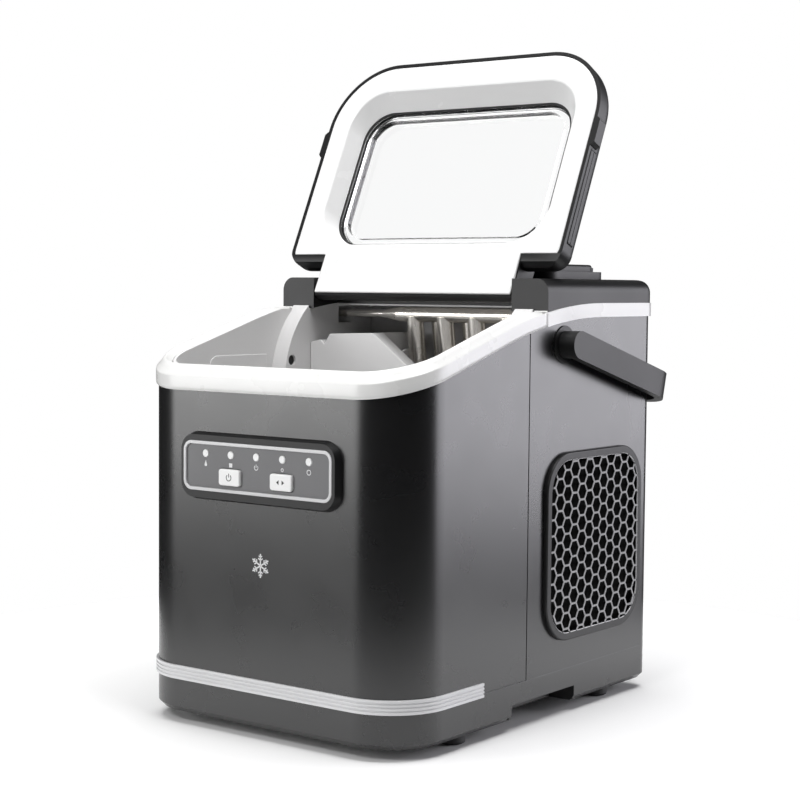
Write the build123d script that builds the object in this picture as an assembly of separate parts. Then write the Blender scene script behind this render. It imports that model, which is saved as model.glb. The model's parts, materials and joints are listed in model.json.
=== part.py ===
from build123d import *
import os
from math import cos, radians, sin

# Portable countertop bullet-ice maker, in millimetres.
# X runs across the width, Y from the front face to the back, Z up from the surface that it stands on.
# Everything is modelled with the front face at Y = 0, then moved so that Y = 0 is the middle of the whole
# object's depth, which runs from the button caps to the cross bar of the handle.

# ---- case ----
CASE_W = 224.0
CASE_D = 291.7
HALF_W = CASE_W / 2
FRONT_R = 40.0
REAR_R = 12.0
WALL = 2.0
SEAM_Y = 131.7
SEAM_GAP = 0.5
FOOT_H = 7.0
BASE_TOP_Z = 31.0
BASE_WALL = 2.5
BASE_CHAMFER = 3.5
TRIM_Z = (29.1, 38.1)
TRIM_PROUD = 1.6
TRIM_END_Y = 82.0

# ---- sloping white rim: a straight slope that bends level towards the back ----
RIM_SLOPE = 0.297
RIM_FRONT_Z = 217.3
RIM_LEVEL_Z = 264.8
RIM_BEND_R = 400.0
RIM_BEND_Y = (RIM_LEVEL_Z - RIM_FRONT_Z) / RIM_SLOPE
RIM_BAND_H = 9.3
RIM_TOP_H = 14.9
RIM_LIP_H = 11.7
RIM_PROUD = 1.8
RIM_RIDGE_IN = 4.0
RIM_RIDGE_FLAT = 1.5
RIM_RIDGE_MAX_Z = 269.2
RIM_INSET = 9.0
RIM_END_Y = 149.5

# ---- deck, shoulders and cap behind the bin ----
DECK_Z = 290.0
DECK_WALL = 2.5
DECK_PROUD = 1.0
SHOULDER_Y = 150.5
SHOULDER_X = 84.5
DECK_FRONT_Y = 177.0
DECK_EDGE_R = 9.0
DECK_REAR_R = 16.0
CAP_Z = 300.3
CAP_STEP_Z = 295.3
CAP_HALF_W = 88.0
CAP_Y = (188.0, 268.0)
CAP_STEP_IN = 6.0

# ---- lid, drawn flat about its hinge axis: x across, y along the lid, z towards the bin ----
HINGE_Y = 160.0
HINGE_Z = 286.5
LID_LEAN = 24.7
LID_HALF_W = 115.5
LID_LENGTH = 172.5
LID_REAR = 11.0
LID_FACE = 6.8
LID_DEPTH = 20.0
LID_WALL = 2.5
LID_FRONT_R = 50.0
LID_REAR_R = 12.0
LID_EDGE_R = 11.0
LINER_REAR = 19.0
LINER_T = 2.0
WINDOW_HALF_W = 89.0
WINDOW_Y = (31.5, 138.5)
WINDOW_R = 22.0
RECESS_HALF_W = 97.0
RECESS_Y = (26.5, 151.0)
RECESS_R = 30.0
RECESS_DEPTH = 11.0
LID_BACK = LID_FACE - LID_DEPTH
RECESS_Z = LID_FACE - RECESS_DEPTH
TONGUE_HALF_W = 84.0
BARREL_R = 12.5
PIN_R = 2.5
PIN_CLEARANCE = 0.05
LUG_Y = (98.5, 119.5)
LUG_OUT = 2.7

# ---- carry handle ----
PIVOT_Y = 172.0
PIVOT_Z = 247.0
HANDLE_DROP = 15.2
ARM_OUT_X = 125.5
ARM_T = 6.0
ARM_H = 18.4
ARM_REACH = 134.0
HANDLE_CORNER_R = 24.0
HUB_R = 9.0
BUSH_R = 12.5
PIVOT_PIN_R = 4.0

# ---- front control panel ----
PANEL_Z = (147.9, 191.3)
PANEL_HALF_W = 65.0
PANEL_PROUD = 5.0
PANEL_R = 12.0
FRAME_HALF_W = 61.2
FRAME_Z = (154.1, 185.8)
FRAME_R = 6.5
FRAME_LINE = 2.2
OVERLAY_Y = -4.2
BUTTON_X = (-21.3, 21.3)
BUTTON_W = 17.6
BUTTON_H = 10.4
BUTTON_Z = 164.0
LED_PITCH = 21.3
LED_Z = 178.0
LED_R = 2.5

# ---- honeycomb side grilles ----
GRILLE_Y = (150.3, 272.4)
GRILLE_Z = (50.5, 176.0)
GRILLE_R = 27.0
GRILLE_PROUD = 3.0
GRILLE_FRAME = 5.0
HEX_PITCH = 10.58
HEX_BAR = 1.3
HEX_TOP_Z = 164.4

# ---- bin, ice chamber and what is in them ----
TANK_HALF_W = 102.7
TANK_WALL = 2.0
TANK_FRONT_Y = 9.3
TANK_FLOOR_Z = 56.0
CHAMBER_Y = 222.0
CHAMBER_FLOOR_Z = 172.0
CHAMBER_TOP_Z = 270.5
CHEEK_X = 88.0
CHEEK_ARC_Y = 195.0
CHEEK_ARC_Z = 215.0
CHEEK_ARC_R = 71.5
TUBE_Y = 190.0
TUBE_Z = 264.5
TUBE_R = 5.4
TUBE_END_X = 94.0
FINGER_R = 6.2
FINGER_LENGTH = 40.0
FINGER_LEAN = 8.0
FINGER_PITCH = 26.5
FINGER_FIRST_X = -24.0
FINGER_ROW_GAP = 12.0
TRAY_PIVOT = (193.0, 232.0)
TRAY_R = 27.0
TRAY_X = (-34.5, 85.0)
BLOCK_Y = 151.0
SENSOR_SPOT = (131.3, 231.6)
BASKET_HALF_W = 88.0
BASKET_Y = (17.0, 116.0)
BASKET_Z = (122.0, 204.0)
BASKET_RIM_H = 3.0
BASKET_RIM_OUT = 4.0

# ---- machinery ----
CHASSIS_TOP = FOOT_H + BASE_WALL + 1.5
CONDENSER_X = (78.0, 98.0)
CONDENSER_Y = (160.0, 270.0)
CONDENSER_Z = (46.0, 162.0)
COMPRESSOR_X = -32.0
COMPRESSOR_Y = 222.0
COMPRESSOR_R = 46.0
COMPRESSOR_Z = (28.0, 146.0)
FAN_Y = 211.0
FAN_Z = 104.0
FAN_R = 44.0
CORD_HOLE_R = 6.0
CORD_HOLE = (-70.0, 62.0)
DRAIN_Y = 52.0
DRAIN_Z = 19.0
DRAIN_BORE_R = 4.6

BUTTON_FRONT_Y = -6.2
HANDLE_BACK_Y = (
    PIVOT_Y + ARM_REACH * cos(radians(HANDLE_DROP)) + ARM_H / 2 * sin(radians(HANDLE_DROP))
)
MIDDLE_Y = (BUTTON_FRONT_Y + HANDLE_BACK_Y) / 2


# ---- shape helpers ----
def block(x, y, z):
    """Box between pairs of limits."""
    size = (x[1] - x[0], y[1] - y[0], z[1] - z[0])
    middle = Pos((x[0] + x[1]) / 2, (y[0] + y[1]) / 2, (z[0] + z[1]) / 2)
    return middle * Box(*size)


def rod_x(x, y, z, radius):
    """Cylinder along X."""
    return Pos((x[0] + x[1]) / 2, y, z) * Rot(0, 90, 0) * Cylinder(radius, x[1] - x[0])


def rod_y(x, y, z, radius):
    """Cylinder along Y."""
    return Pos(x, (y[0] + y[1]) / 2, z) * Rot(90, 0, 0) * Cylinder(radius, y[1] - y[0])


def rod_z(x, y, z, radius):
    """Cylinder along Z."""
    return Pos(x, y, (z[0] + z[1]) / 2) * Cylinder(radius, z[1] - z[0])


def joined(pieces):
    """All the pieces as one shape."""
    whole = pieces[0]
    for piece in pieces[1:]:
        whole = whole + piece
    return whole


def mirrored_x(piece):
    """The piece and its mirror image across the middle of the width."""
    return piece + mirror(piece, Plane.YZ)


def case_outline(inset):
    """Plan view of the case, drawn in by an inset."""
    width = CASE_W - 2 * inset
    depth = CASE_D - 2 * inset
    outline = Pos(0, CASE_D / 2) * Rectangle(width, depth)
    front = outline.vertices().group_by(Axis.Y)[0]
    outline = fillet(front, FRONT_R - inset)
    rear = outline.vertices().group_by(Axis.Y)[-1]
    return fillet(rear, max(REAR_R - inset, 2.0))


def case_block(inset, z):
    """The case outline raised between two heights."""
    return extrude(Plane.XY.offset(z[0]) * case_outline(inset), z[1] - z[0])


def above_rim(lift):
    """Everything higher than the rim line, raised by a lift."""
    far = 60.0
    front = (-far, RIM_FRONT_Z - far * RIM_SLOPE + lift)
    bend = (RIM_BEND_Y, RIM_LEVEL_Z + lift)
    back = (CASE_D + far, RIM_LEVEL_Z + lift)
    top = RIM_LEVEL_Z + 200
    profile = make_face(Polyline(front, bend, back, (back[0], top), (front[0], top), close=True))
    corner = profile.vertices().sort_by_distance(Vector(bend[0], bend[1], 0))[0]
    profile = fillet(corner, RIM_BEND_R)
    return extrude(Plane.YZ * profile, CASE_W, both=True)


def round_box_y(x, y, z, radius):
    """Box with its four edges along Y rounded."""
    plate = Rectangle(x[1] - x[0], z[1] - z[0])
    plate = fillet(plate.vertices(), radius)
    middle = Plane(((x[0] + x[1]) / 2, y[1], (z[0] + z[1]) / 2), x_dir=(1, 0, 0), z_dir=(0, -1, 0))
    return extrude(middle * plate, y[1] - y[0])


def round_box_x(x, y, z, radius):
    """Box with its four edges along X rounded."""
    plate = Rectangle(y[1] - y[0], z[1] - z[0])
    plate = fillet(plate.vertices(), radius)
    middle = Plane((x[0], (y[0] + y[1]) / 2, (z[0] + z[1]) / 2), x_dir=(0, 1, 0), z_dir=(1, 0, 0))
    return extrude(middle * plate, x[1] - x[0])


def round_box_z(x, y, z, radius):
    """Box with its four edges along Z rounded."""
    plate = Rectangle(x[1] - x[0], y[1] - y[0])
    plate = fillet(plate.vertices(), radius)
    middle = Plane(((x[0] + x[1]) / 2, (y[0] + y[1]) / 2, z[0]))
    return extrude(middle * plate, z[1] - z[0])


# ---- case ----
def grille_opening(side, margin):
    """Hole through a side wall behind a grille."""
    x = (HALF_W - 15, HALF_W + 15) if side > 0 else (-HALF_W - 15, -HALF_W + 15)
    y = (GRILLE_Y[0] + margin, GRILLE_Y[1] - margin)
    z = (GRILLE_Z[0] + margin, GRILLE_Z[1] - margin)
    return round_box_x(x, y, z, GRILLE_R - margin)


def shell_ring(outer, inner, z):
    return case_block(outer, z) - case_block(inner, z)


def front_shell():
    ring = shell_ring(0, WALL, (BASE_TOP_Z, 300)) - above_rim(0)
    ring = ring & block((-200, 200), (-10, SEAM_Y - SEAM_GAP / 2), (0, 300))
    lap = shell_ring(WALL, WALL + 1.6, (BASE_TOP_Z + 25, 250)) & block(
        (-200, 200), (SEAM_Y - 8, SEAM_Y + 6), (0, 300)
    )
    hole = round_box_y(
        (-PANEL_HALF_W + 3.2, PANEL_HALF_W - 3.2),
        (-1, 6),
        (PANEL_Z[0] + 3.2, PANEL_Z[1] - 3.2),
        PANEL_R - 3.2,
    )
    return ring + lap - hole


def rear_shell():
    ring = shell_ring(0, WALL, (BASE_TOP_Z, 300)) - above_rim(0)
    ring = ring & block((-200, 200), (SEAM_Y + SEAM_GAP / 2, 300), (0, 300))
    for side in (-1, 1):
        ring = ring - grille_opening(side, 3.0)
    ring = ring - rod_x((-HALF_W - 5, HALF_W + 5), PIVOT_Y, PIVOT_Z, HUB_R + 1.2)
    ring = ring - rod_y(CORD_HOLE[0], (CASE_D - 5, CASE_D + 5), CORD_HOLE[1], CORD_HOLE_R + 3)
    for x, z in rear_screw_spots():
        ring = ring - rod_y(x, (CASE_D - 5, CASE_D + 5), z, 1.7)
    return ring


def rear_screw_spots():
    return [(x, z) for x in (-98.0, 98.0) for z in (50.0, 150.0, 252.0)]


def screw_y(x, y_head, z, length):
    """Pan-head screw entering the back of the case, with a cross recess in its head."""
    head = rod_y(x, (y_head, y_head + 2.0), z, 3.2)
    shank = rod_y(x, (y_head - length, y_head), z, 1.5)
    recess = block((x - 2, x + 2), (y_head + 1.0, y_head + 3), (z - 0.45, z + 0.45))
    recess = recess + block((x - 0.45, x + 0.45), (y_head + 1.0, y_head + 3), (z - 2, z + 2))
    return head + shank - recess


def rear_screws():
    return [screw_y(x, CASE_D, z, 9.0) for x, z in rear_screw_spots()]


def base_tray():
    outer = case_block(0, (FOOT_H, BASE_TOP_Z))
    outer = chamfer(outer.faces().sort_by(Axis.Z)[0].edges(), BASE_CHAMFER)
    tray = outer - case_block(BASE_WALL, (FOOT_H + BASE_WALL, BASE_TOP_Z + 1))
    lip = shell_ring(WALL + 0.3, WALL + 2.3, (BASE_TOP_Z - 6, BASE_TOP_Z + 12))
    lip = lip - block((-200, 200), (SEAM_Y - 12, SEAM_Y + 10), (BASE_TOP_Z, 300))
    tray = tray + lip
    for side in (-1, 1):
        near, far = sorted((side * (HALF_W - 20), side * (HALF_W + 5)))
        grip_hole = block((near, far), (115.5, 190.5), (0, 17.5))
        near, far = sorted((side * (HALF_W - 22), side * (HALF_W - 1)))
        grip_walls = block((near, far), (113.5, 192.5), (FOOT_H + 1, 19.5))
        tray = tray + grip_walls - grip_hole
    tray = tray - rod_x((-HALF_W - 5, -HALF_W + 8), DRAIN_Y, DRAIN_Z, 7.0)
    for x, y in foot_spots():
        tray = tray - rod_z(x, y, (FOOT_H - 1, FOOT_H + BASE_WALL + 1), 2.1)
    return tray


def foot_spots():
    return [(x, y) for x in (-96.0, 96.0) for y in (72.0, 244.0)]


def rubber_feet():
    feet = []
    for x, y in foot_spots():
        foot = rod_z(x, y, (0, FOOT_H), 8.5)
        foot = chamfer(foot.faces().sort_by(Axis.Z)[0].edges(), 1.0)
        feet.append(foot - rod_z(x, y, (1.5, FOOT_H + 1), 2.1) - rod_z(x, y, (-1, 3.5), 4.0))
    return feet


def foot_screws():
    screws = []
    for x, y in foot_spots():
        head = rod_z(x, y, (1.4, 3.5), 3.4)
        shank = rod_z(x, y, (3.5, FOOT_H + BASE_WALL + 4), 2.0)
        slot = block((x - 2, x + 2), (y - 0.45, y + 0.45), (1.0, 2.4))
        slot = slot + block((x - 0.45, x + 0.45), (y - 2, y + 2), (1.0, 2.4))
        screws.append(head + shank - slot)
    return screws


def trim_strip():
    z0, z1 = TRIM_Z
    strip = shell_ring(-TRIM_PROUD, 0, TRIM_Z)
    strip = strip & block((-200, 200), (-5, TRIM_END_Y), (0, 100))
    for step in (1, 2, 3):
        z = z0 + step * (z1 - z0) / 4
        strip = strip - shell_ring(-TRIM_PROUD - 1, -TRIM_PROUD + 0.6, (z - 0.5, z + 0.5))
    return strip


def rim_bezel():
    """White rim: a plain band at the back, and in front a ridge with a slope to each side."""
    band = shell_ring(-RIM_PROUD, RIM_INSET, (200, 320)) & above_rim(0)
    front = band & block((-200, 200), (-10, RIM_END_Y), (0, RIM_RIDGE_MAX_Z))
    front = front - above_rim(RIM_TOP_H)
    outer_steps = 4
    for step in range(outer_steps):
        inset = -RIM_PROUD + (RIM_RIDGE_IN + RIM_PROUD) * (step + 0.5) / outer_steps
        height = RIM_BAND_H + (RIM_TOP_H - RIM_BAND_H) * step / outer_steps
        front = front - (shell_ring(-RIM_PROUD - 5, inset, (200, 320)) & above_rim(height))
    inner_steps = 3
    slope_width = RIM_INSET - RIM_RIDGE_IN - RIM_RIDGE_FLAT
    for step in range(inner_steps):
        inset = RIM_INSET - slope_width * (step + 0.5) / inner_steps
        height = RIM_LIP_H + (RIM_TOP_H - RIM_LIP_H) * step / inner_steps
        front = front - (case_block(inset, (200, 320)) & above_rim(height))
    rear = (band - above_rim(RIM_BAND_H)) & block((-200, 200), (RIM_END_Y, 400), (0, 400))
    return front + rear


def deck_body(inset):
    """Outside of the deck, drawn in by an inset, before its shoulders are cut."""
    body = case_block(inset - DECK_PROUD, (230, DECK_Z - inset)) & block(
        (-200, 200), (SHOULDER_Y + inset, 300), (0, 400)
    )
    top = body.faces().sort_by(Axis.Z)[-1]
    sides = top.edges().filter_by(Axis.Y)
    body = fillet(sides, DECK_EDGE_R)
    centre_y = CASE_D + DECK_PROUD - DECK_REAR_R
    centre_z = DECK_Z - DECK_REAR_R
    corner = block((-CASE_W, CASE_W), (centre_y, CASE_D + 9), (centre_z, DECK_Z + 9))
    return body - (corner - rod_x((-CASE_W, CASE_W), centre_y, centre_z, DECK_REAR_R - inset))


def rear_deck():
    deck = deck_body(0) - deck_body(DECK_WALL)
    deck = deck + (deck_body(0) & block((-CASE_W, -SHOULDER_X), (SHOULDER_Y, 166), (0, 400)))
    deck = deck + (deck_body(0) & block((SHOULDER_X, CASE_W), (SHOULDER_Y, 166), (0, 400)))
    notch = block((-SHOULDER_X, SHOULDER_X), (SHOULDER_Y - 5, DECK_FRONT_Y), (0, 400))
    deck = deck - notch
    front_wall = block(
        (-SHOULDER_X, SHOULDER_X), (DECK_FRONT_Y, DECK_FRONT_Y + DECK_WALL), (240, DECK_Z)
    )
    shoulder_walls = mirrored_x(
        block((SHOULDER_X, SHOULDER_X + 6), (SHOULDER_Y, DECK_FRONT_Y + DECK_WALL), (240, DECK_Z))
    )
    deck = deck + front_wall + shoulder_walls
    deck = deck - (block((-200, 200), (0, 400), (0, 400)) - above_rim(RIM_BAND_H))
    bore_r = PIN_R + PIN_CLEARANCE
    deck = deck - rod_x((-SHOULDER_X - 9, SHOULDER_X + 9), HINGE_Y, HINGE_Z, bore_r)
    for x, y in cap_screw_spots():
        deck = deck - rod_z(x, y, (DECK_Z - 5, DECK_Z + 1), 1.7)
    vents = [
        block((x - 1.5, x + 1.5), (CAP_Y[0] + 18, CAP_Y[1] - 18), (DECK_Z - 5, DECK_Z + 1))
        for x in range(-60, 61, 8)
    ]
    return deck - joined(vents)


def cap_screw_spots():
    return [(x, y) for x in (-76.0, 76.0) for y in (CAP_Y[0] + 9, CAP_Y[1] - 9)]


def vent_cap():
    """Stepped cap over the vents in the deck, open below, with its own row of slots."""
    x0 = CAP_HALF_W
    low = round_box_z((-x0, x0), CAP_Y, (DECK_Z, CAP_STEP_Z), 14)
    inner_y = (CAP_Y[0] + CAP_STEP_IN, CAP_Y[1] - CAP_STEP_IN)
    x1 = CAP_HALF_W - CAP_STEP_IN
    high = round_box_z((-x1, x1), inner_y, (CAP_STEP_Z, CAP_Z), 10)
    cap = low + high
    lip = cap.edges().filter_by(lambda e: abs(e.center().Z - CAP_Z) < 0.01)
    cap = fillet(lip, 2.0)
    hollow = round_box_z(
        (-x1 + 3, x1 - 3), (inner_y[0] + 3, inner_y[1] - 3), (DECK_Z - 1, CAP_Z - 2.5), 7
    )
    posts = joined([rod_z(x, y, (DECK_Z, CAP_Z - 2), 4) for x, y in cap_screw_spots()])
    cap = cap - hollow + posts
    for x, y in cap_screw_spots():
        cap = cap - rod_z(x, y, (DECK_Z - 1, CAP_Z - 4), 1.7)
    slots = [
        block((x - 1.2, x + 1.2), (inner_y[0] + 22, inner_y[1] - 22), (CAP_Z - 5, CAP_Z + 1))
        for x in range(-48, 49, 6)
    ]
    return cap - joined(slots)


def cap_screws():
    screws = []
    for x, y in cap_screw_spots():
        head = rod_z(x, y, (DECK_Z - DECK_WALL - 2.2, DECK_Z - DECK_WALL), 3.2)
        screws.append(head + rod_z(x, y, (DECK_Z - DECK_WALL, CAP_Z - 6), 1.5))
    return screws


def hex_cutters(x):
    """Honeycomb of six-sided holes, flat side up, trimmed to the grille's frame."""
    column_gap = HEX_PITCH * cos(radians(30))
    middle_y = sum(GRILLE_Y) / 2
    hole_r = (HEX_PITCH - HEX_BAR) / 2 / cos(radians(30))
    cells = []
    for column in range(-6, 7):
        for row in range(-1, 12):
            z = HEX_TOP_Z - HEX_PITCH * (row + (0.5 if column % 2 == 0 else 0.0))
            y = middle_y + column * column_gap
            if GRILLE_Z[0] - 2 < z < GRILLE_Z[1] + 2:
                cells.append(Pos(y, z) * RegularPolygon(hole_r, 6))
    holes = extrude(Plane.YZ.offset(x - 10) * Sketch(children=cells), 20)
    inner = round_box_x(
        (x - 10, x + 10),
        (GRILLE_Y[0] + GRILLE_FRAME, GRILLE_Y[1] - GRILLE_FRAME),
        (GRILLE_Z[0] + GRILLE_FRAME, GRILLE_Z[1] - GRILLE_FRAME),
        GRILLE_R - GRILLE_FRAME,
    )
    return holes & inner


def side_grille(side):
    """Raised honeycomb grille that plugs into its hole in the side wall."""
    outside = (HALF_W, HALF_W + GRILLE_PROUD)
    plate = round_box_x(outside, GRILLE_Y, GRILLE_Z, GRILLE_R)
    front_edges = plate.faces().sort_by(Axis.X)[-1].edges()
    plate = fillet(front_edges, 1.2)
    margin = 3.2
    plug = round_box_x(
        (HALF_W - 2.0, HALF_W),
        (GRILLE_Y[0] + margin, GRILLE_Y[1] - margin),
        (GRILLE_Z[0] + margin, GRILLE_Z[1] - margin),
        GRILLE_R - margin,
    )
    grille = plate + plug
    relief = round_box_x(
        (HALF_W - 3, HALF_W + 1.2),
        (GRILLE_Y[0] + GRILLE_FRAME, GRILLE_Y[1] - GRILLE_FRAME),
        (GRILLE_Z[0] + GRILLE_FRAME, GRILLE_Z[1] - GRILLE_FRAME),
        GRILLE_R - GRILLE_FRAME,
    )
    grille = grille - relief - hex_cutters(HALF_W)
    return grille if side > 0 else mirror(grille, Plane.YZ)


def cord_inlet_bush():
    """Grommet in the rear wall that the mains lead passes through."""
    x, z = CORD_HOLE
    flange = rod_y(x, (CASE_D, CASE_D + 2.5), z, CORD_HOLE_R + 5.5)
    flange = fillet(flange.faces().sort_by(Axis.Y)[-1].edges(), 1.0)
    neck = rod_y(x, (CASE_D - WALL, CASE_D), z, CORD_HOLE_R + 2.9)
    inner = rod_y(x, (CASE_D - WALL - 2.5, CASE_D - WALL), z, CORD_HOLE_R + 4.5)
    bore = rod_y(x, (CASE_D - 10, CASE_D + 10), z, CORD_HOLE_R)
    return flange + neck + inner - bore


# ---- control panel ----
def panel_bezel():
    """Raised surround with sloping sides, open behind the overlay."""
    base = Rectangle(2 * PANEL_HALF_W, PANEL_Z[1] - PANEL_Z[0])
    base = fillet(base.vertices(), PANEL_R)
    face = Rectangle(2 * PANEL_HALF_W - 3.4, PANEL_Z[1] - PANEL_Z[0] - 3.4)
    face = fillet(face.vertices(), PANEL_R - 1.7)
    middle_z = sum(PANEL_Z) / 2
    wall_plane = Plane((0, 0, middle_z), x_dir=(1, 0, 0), z_dir=(0, -1, 0))
    body = loft([wall_plane * base, wall_plane.offset(PANEL_PROUD) * face])
    back = round_box_y(
        (-PANEL_HALF_W + 3.5, PANEL_HALF_W - 3.5),
        (0, WALL + 1.5),
        (PANEL_Z[0] + 3.5, PANEL_Z[1] - 3.5),
        PANEL_R - 3.5,
    )
    hole = frame_box(0.0, (-20, 20))
    floor = frame_box(0.0, (OVERLAY_Y + 1.2, WALL + 1.5))
    bezel = body + back - hole + floor
    for x in BUTTON_X:
        bezel = bezel - button_box(x, 0.6, (-20, 20))
    for x in led_places():
        bezel = bezel - rod_y(x, (-20, 20), LED_Z, LED_R + 0.1)
    return bezel


def frame_box(inset, y):
    return round_box_y(
        (-FRAME_HALF_W + inset, FRAME_HALF_W - inset),
        y,
        (FRAME_Z[0] + inset, FRAME_Z[1] - inset),
        FRAME_R - inset,
    )


def button_box(x, grow, y):
    return round_box_y(
        (x - BUTTON_W / 2 - grow, x + BUTTON_W / 2 + grow),
        y,
        (BUTTON_Z - BUTTON_H / 2 - grow, BUTTON_Z + BUTTON_H / 2 + grow),
        2.0 + grow / 2,
    )


def led_places():
    return [LED_PITCH * step for step in (-2, -1, 0, 1, 2)]


def panel_frame():
    ring = frame_box(0.1, (-PANEL_PROUD - 0.4, OVERLAY_Y + 1.2))
    ring = ring - frame_box(FRAME_LINE, (-20, 20))
    return fillet(ring.faces().sort_by(Axis.Y)[0].edges(), 0.35)


def panel_overlay():
    plate = frame_box(FRAME_LINE + 0.1, (OVERLAY_Y, OVERLAY_Y + 1.2))
    for x in BUTTON_X:
        plate = plate - button_box(x, 0.4, (-20, 20))
    for x in led_places():
        plate = plate - rod_y(x, (-20, 20), LED_Z, LED_R + 0.1)
    return plate


def led_lenses():
    lenses = []
    for x in led_places():
        lens = rod_y(x, (OVERLAY_Y - 0.5, OVERLAY_Y + 6), LED_Z, LED_R)
        lenses.append(fillet(lens.faces().sort_by(Axis.Y)[0].edges(), 0.45))
    return lenses


def push_button(x):
    """Cap with a shallow dish, and a stem that reaches the switch behind it."""
    cap = button_box(x, 0.0, (BUTTON_FRONT_Y, OVERLAY_Y + 1.0))
    cap = fillet(cap.faces().sort_by(Axis.Y)[0].edges(), 0.8)
    stem = rod_y(x, (OVERLAY_Y + 1.0, 4.0), BUTTON_Z, 2.0)
    return cap + stem


def display_board():
    """Board behind the panel, with a tactile switch behind each button."""
    board = block((-56, 56), (6.2, 7.8), (155.5, 184))
    switches = [
        block((x - 3, x + 3), (4.9, 6.2), (BUTTON_Z - 3, BUTTON_Z + 3)) for x in BUTTON_X
    ]
    posts = mirrored_x(rod_y(52, (3.5, 6.2), 170, 2.2))
    return board + joined(switches) + posts


# ---- lid ----
def lid_place(lean):
    """Where the flat lid drawing goes: its origin on the hinge axis, leaning back past upright."""
    turn = radians(lean)
    return Plane(
        (0, HINGE_Y, HINGE_Z), x_dir=(1, 0, 0), z_dir=(0, -cos(turn), sin(turn))
    ).location


def plate_outline(half_w, y, front_r, rear_r):
    """Rounded rectangle in the lid drawing, with its own radius at each end."""
    plate = Pos(0, (y[0] + y[1]) / 2) * Rectangle(2 * half_w, y[1] - y[0])
    plate = fillet(plate.vertices().group_by(Axis.Y)[-1], front_r)
    return fillet(plate.vertices().group_by(Axis.Y)[0], rear_r)


def lid_plate(half_w, y, front_r, rear_r, z):
    outline = plate_outline(half_w, y, front_r, rear_r)
    return extrude(Plane.XY.offset(z[0]) * outline, z[1] - z[0])


def lid_body(inset, z_top):
    """Solid outline of the lid, its outer edge rounded and its rear underside cut away."""
    body = lid_plate(
        LID_HALF_W - inset,
        (LID_REAR + inset, LID_LENGTH - inset),
        LID_FRONT_R - inset,
        LID_REAR_R - inset,
        (LID_BACK + inset, z_top),
    )
    outer = body.faces().sort_by(Axis.Z)[0].edges()
    body = fillet(outer, LID_EDGE_R - inset)
    tool = Plane.YZ * make_face(
        Polyline(
            (0, LID_FACE - 5.5 - inset),
            (LID_REAR + inset, LID_FACE - 5.5 - inset),
            (LID_REAR + 3 + inset, LID_FACE - 1.6 - inset),
            (LINER_REAR + inset, LID_FACE + 0.01),
            (LINER_REAR + inset, LID_FACE + 20),
            (0, LID_FACE + 20),
            close=True,
        )
    )
    return body - extrude(tool, CASE_W, both=True)


def lid_shell():
    """Black outer shell with its side lugs, and the hinge barrel on the tongue at its rear."""
    shell = lid_body(0, LID_FACE) - lid_body(LID_WALL, LID_FACE + 1)
    rear_skin = lid_body(0, LID_FACE) & block(
        (-CASE_W, CASE_W), (0, LINER_REAR - 0.2), (-50, 50)
    )
    shell = shell + rear_skin
    barrel = rod_x((-TONGUE_HALF_W, TONGUE_HALF_W), 0, 0, BARREL_R)
    web = block((-TONGUE_HALF_W, TONGUE_HALF_W), (0, LINER_REAR - 0.2), (LID_BACK, LID_FACE - 2.2))
    shell = shell + barrel + web
    flap_room = block(
        (-TONGUE_HALF_W, TONGUE_HALF_W), (-20, LINER_REAR), (LID_FACE - 2.2, LID_FACE + 20)
    )
    lug = block(
        (LID_HALF_W - 1, LID_HALF_W + LUG_OUT), LUG_Y, (LID_FACE - 8, LID_FACE)
    )
    lug = chamfer(lug.edges().filter_by(Axis.Z).group_by(Axis.X)[-1], 2.2)
    opening = lid_plate(
        WINDOW_HALF_W - 1, (WINDOW_Y[0] + 1, WINDOW_Y[1] - 1), WINDOW_R, WINDOW_R, (-30, 0)
    )
    pin_hole = rod_x((-CASE_W, CASE_W), 0, 0, PIN_R)
    return shell - flap_room + mirrored_x(lug) - opening - pin_hole - liner_border()


def liner_border():
    """Flat border of the liner, which lies inside the shell's edge."""
    gap = LID_WALL + 0.2
    border = lid_plate(
        LID_HALF_W - gap,
        (LID_REAR + gap, LID_LENGTH - gap),
        LID_FRONT_R - gap,
        LID_REAR_R - gap,
        (LID_FACE - LINER_T, LID_FACE),
    )
    return border - block((-CASE_W, CASE_W), (0, LINER_REAR), (-50, 50))


def lid_liner():
    """White inner tray of the lid: flat border, sloping recess round the window, rear flap."""
    wide = plate_outline(RECESS_HALF_W, RECESS_Y, RECESS_R, RECESS_R)
    narrow = plate_outline(WINDOW_HALF_W, WINDOW_Y, WINDOW_R, WINDOW_R)
    low = Plane.XY.offset(RECESS_Z)
    high = Plane.XY.offset(LID_FACE)
    funnel = loft([low * narrow, high * wide])
    thick_wide = plate_outline(
        RECESS_HALF_W + LINER_T, (RECESS_Y[0] - LINER_T, RECESS_Y[1] + LINER_T), RECESS_R + 2, RECESS_R + 2
    )
    thick_narrow = plate_outline(
        WINDOW_HALF_W + LINER_T, (WINDOW_Y[0] - LINER_T, WINDOW_Y[1] + LINER_T), WINDOW_R + 2, WINDOW_R + 2
    )
    jacket = loft([low * thick_narrow, high * thick_wide])
    flap = block((-TONGUE_HALF_W + 0.5, TONGUE_HALF_W - 0.5), (-10.3, LINER_REAR), (LID_FACE - 2, LID_FACE))
    return liner_border() + jacket + flap - funnel


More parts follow.
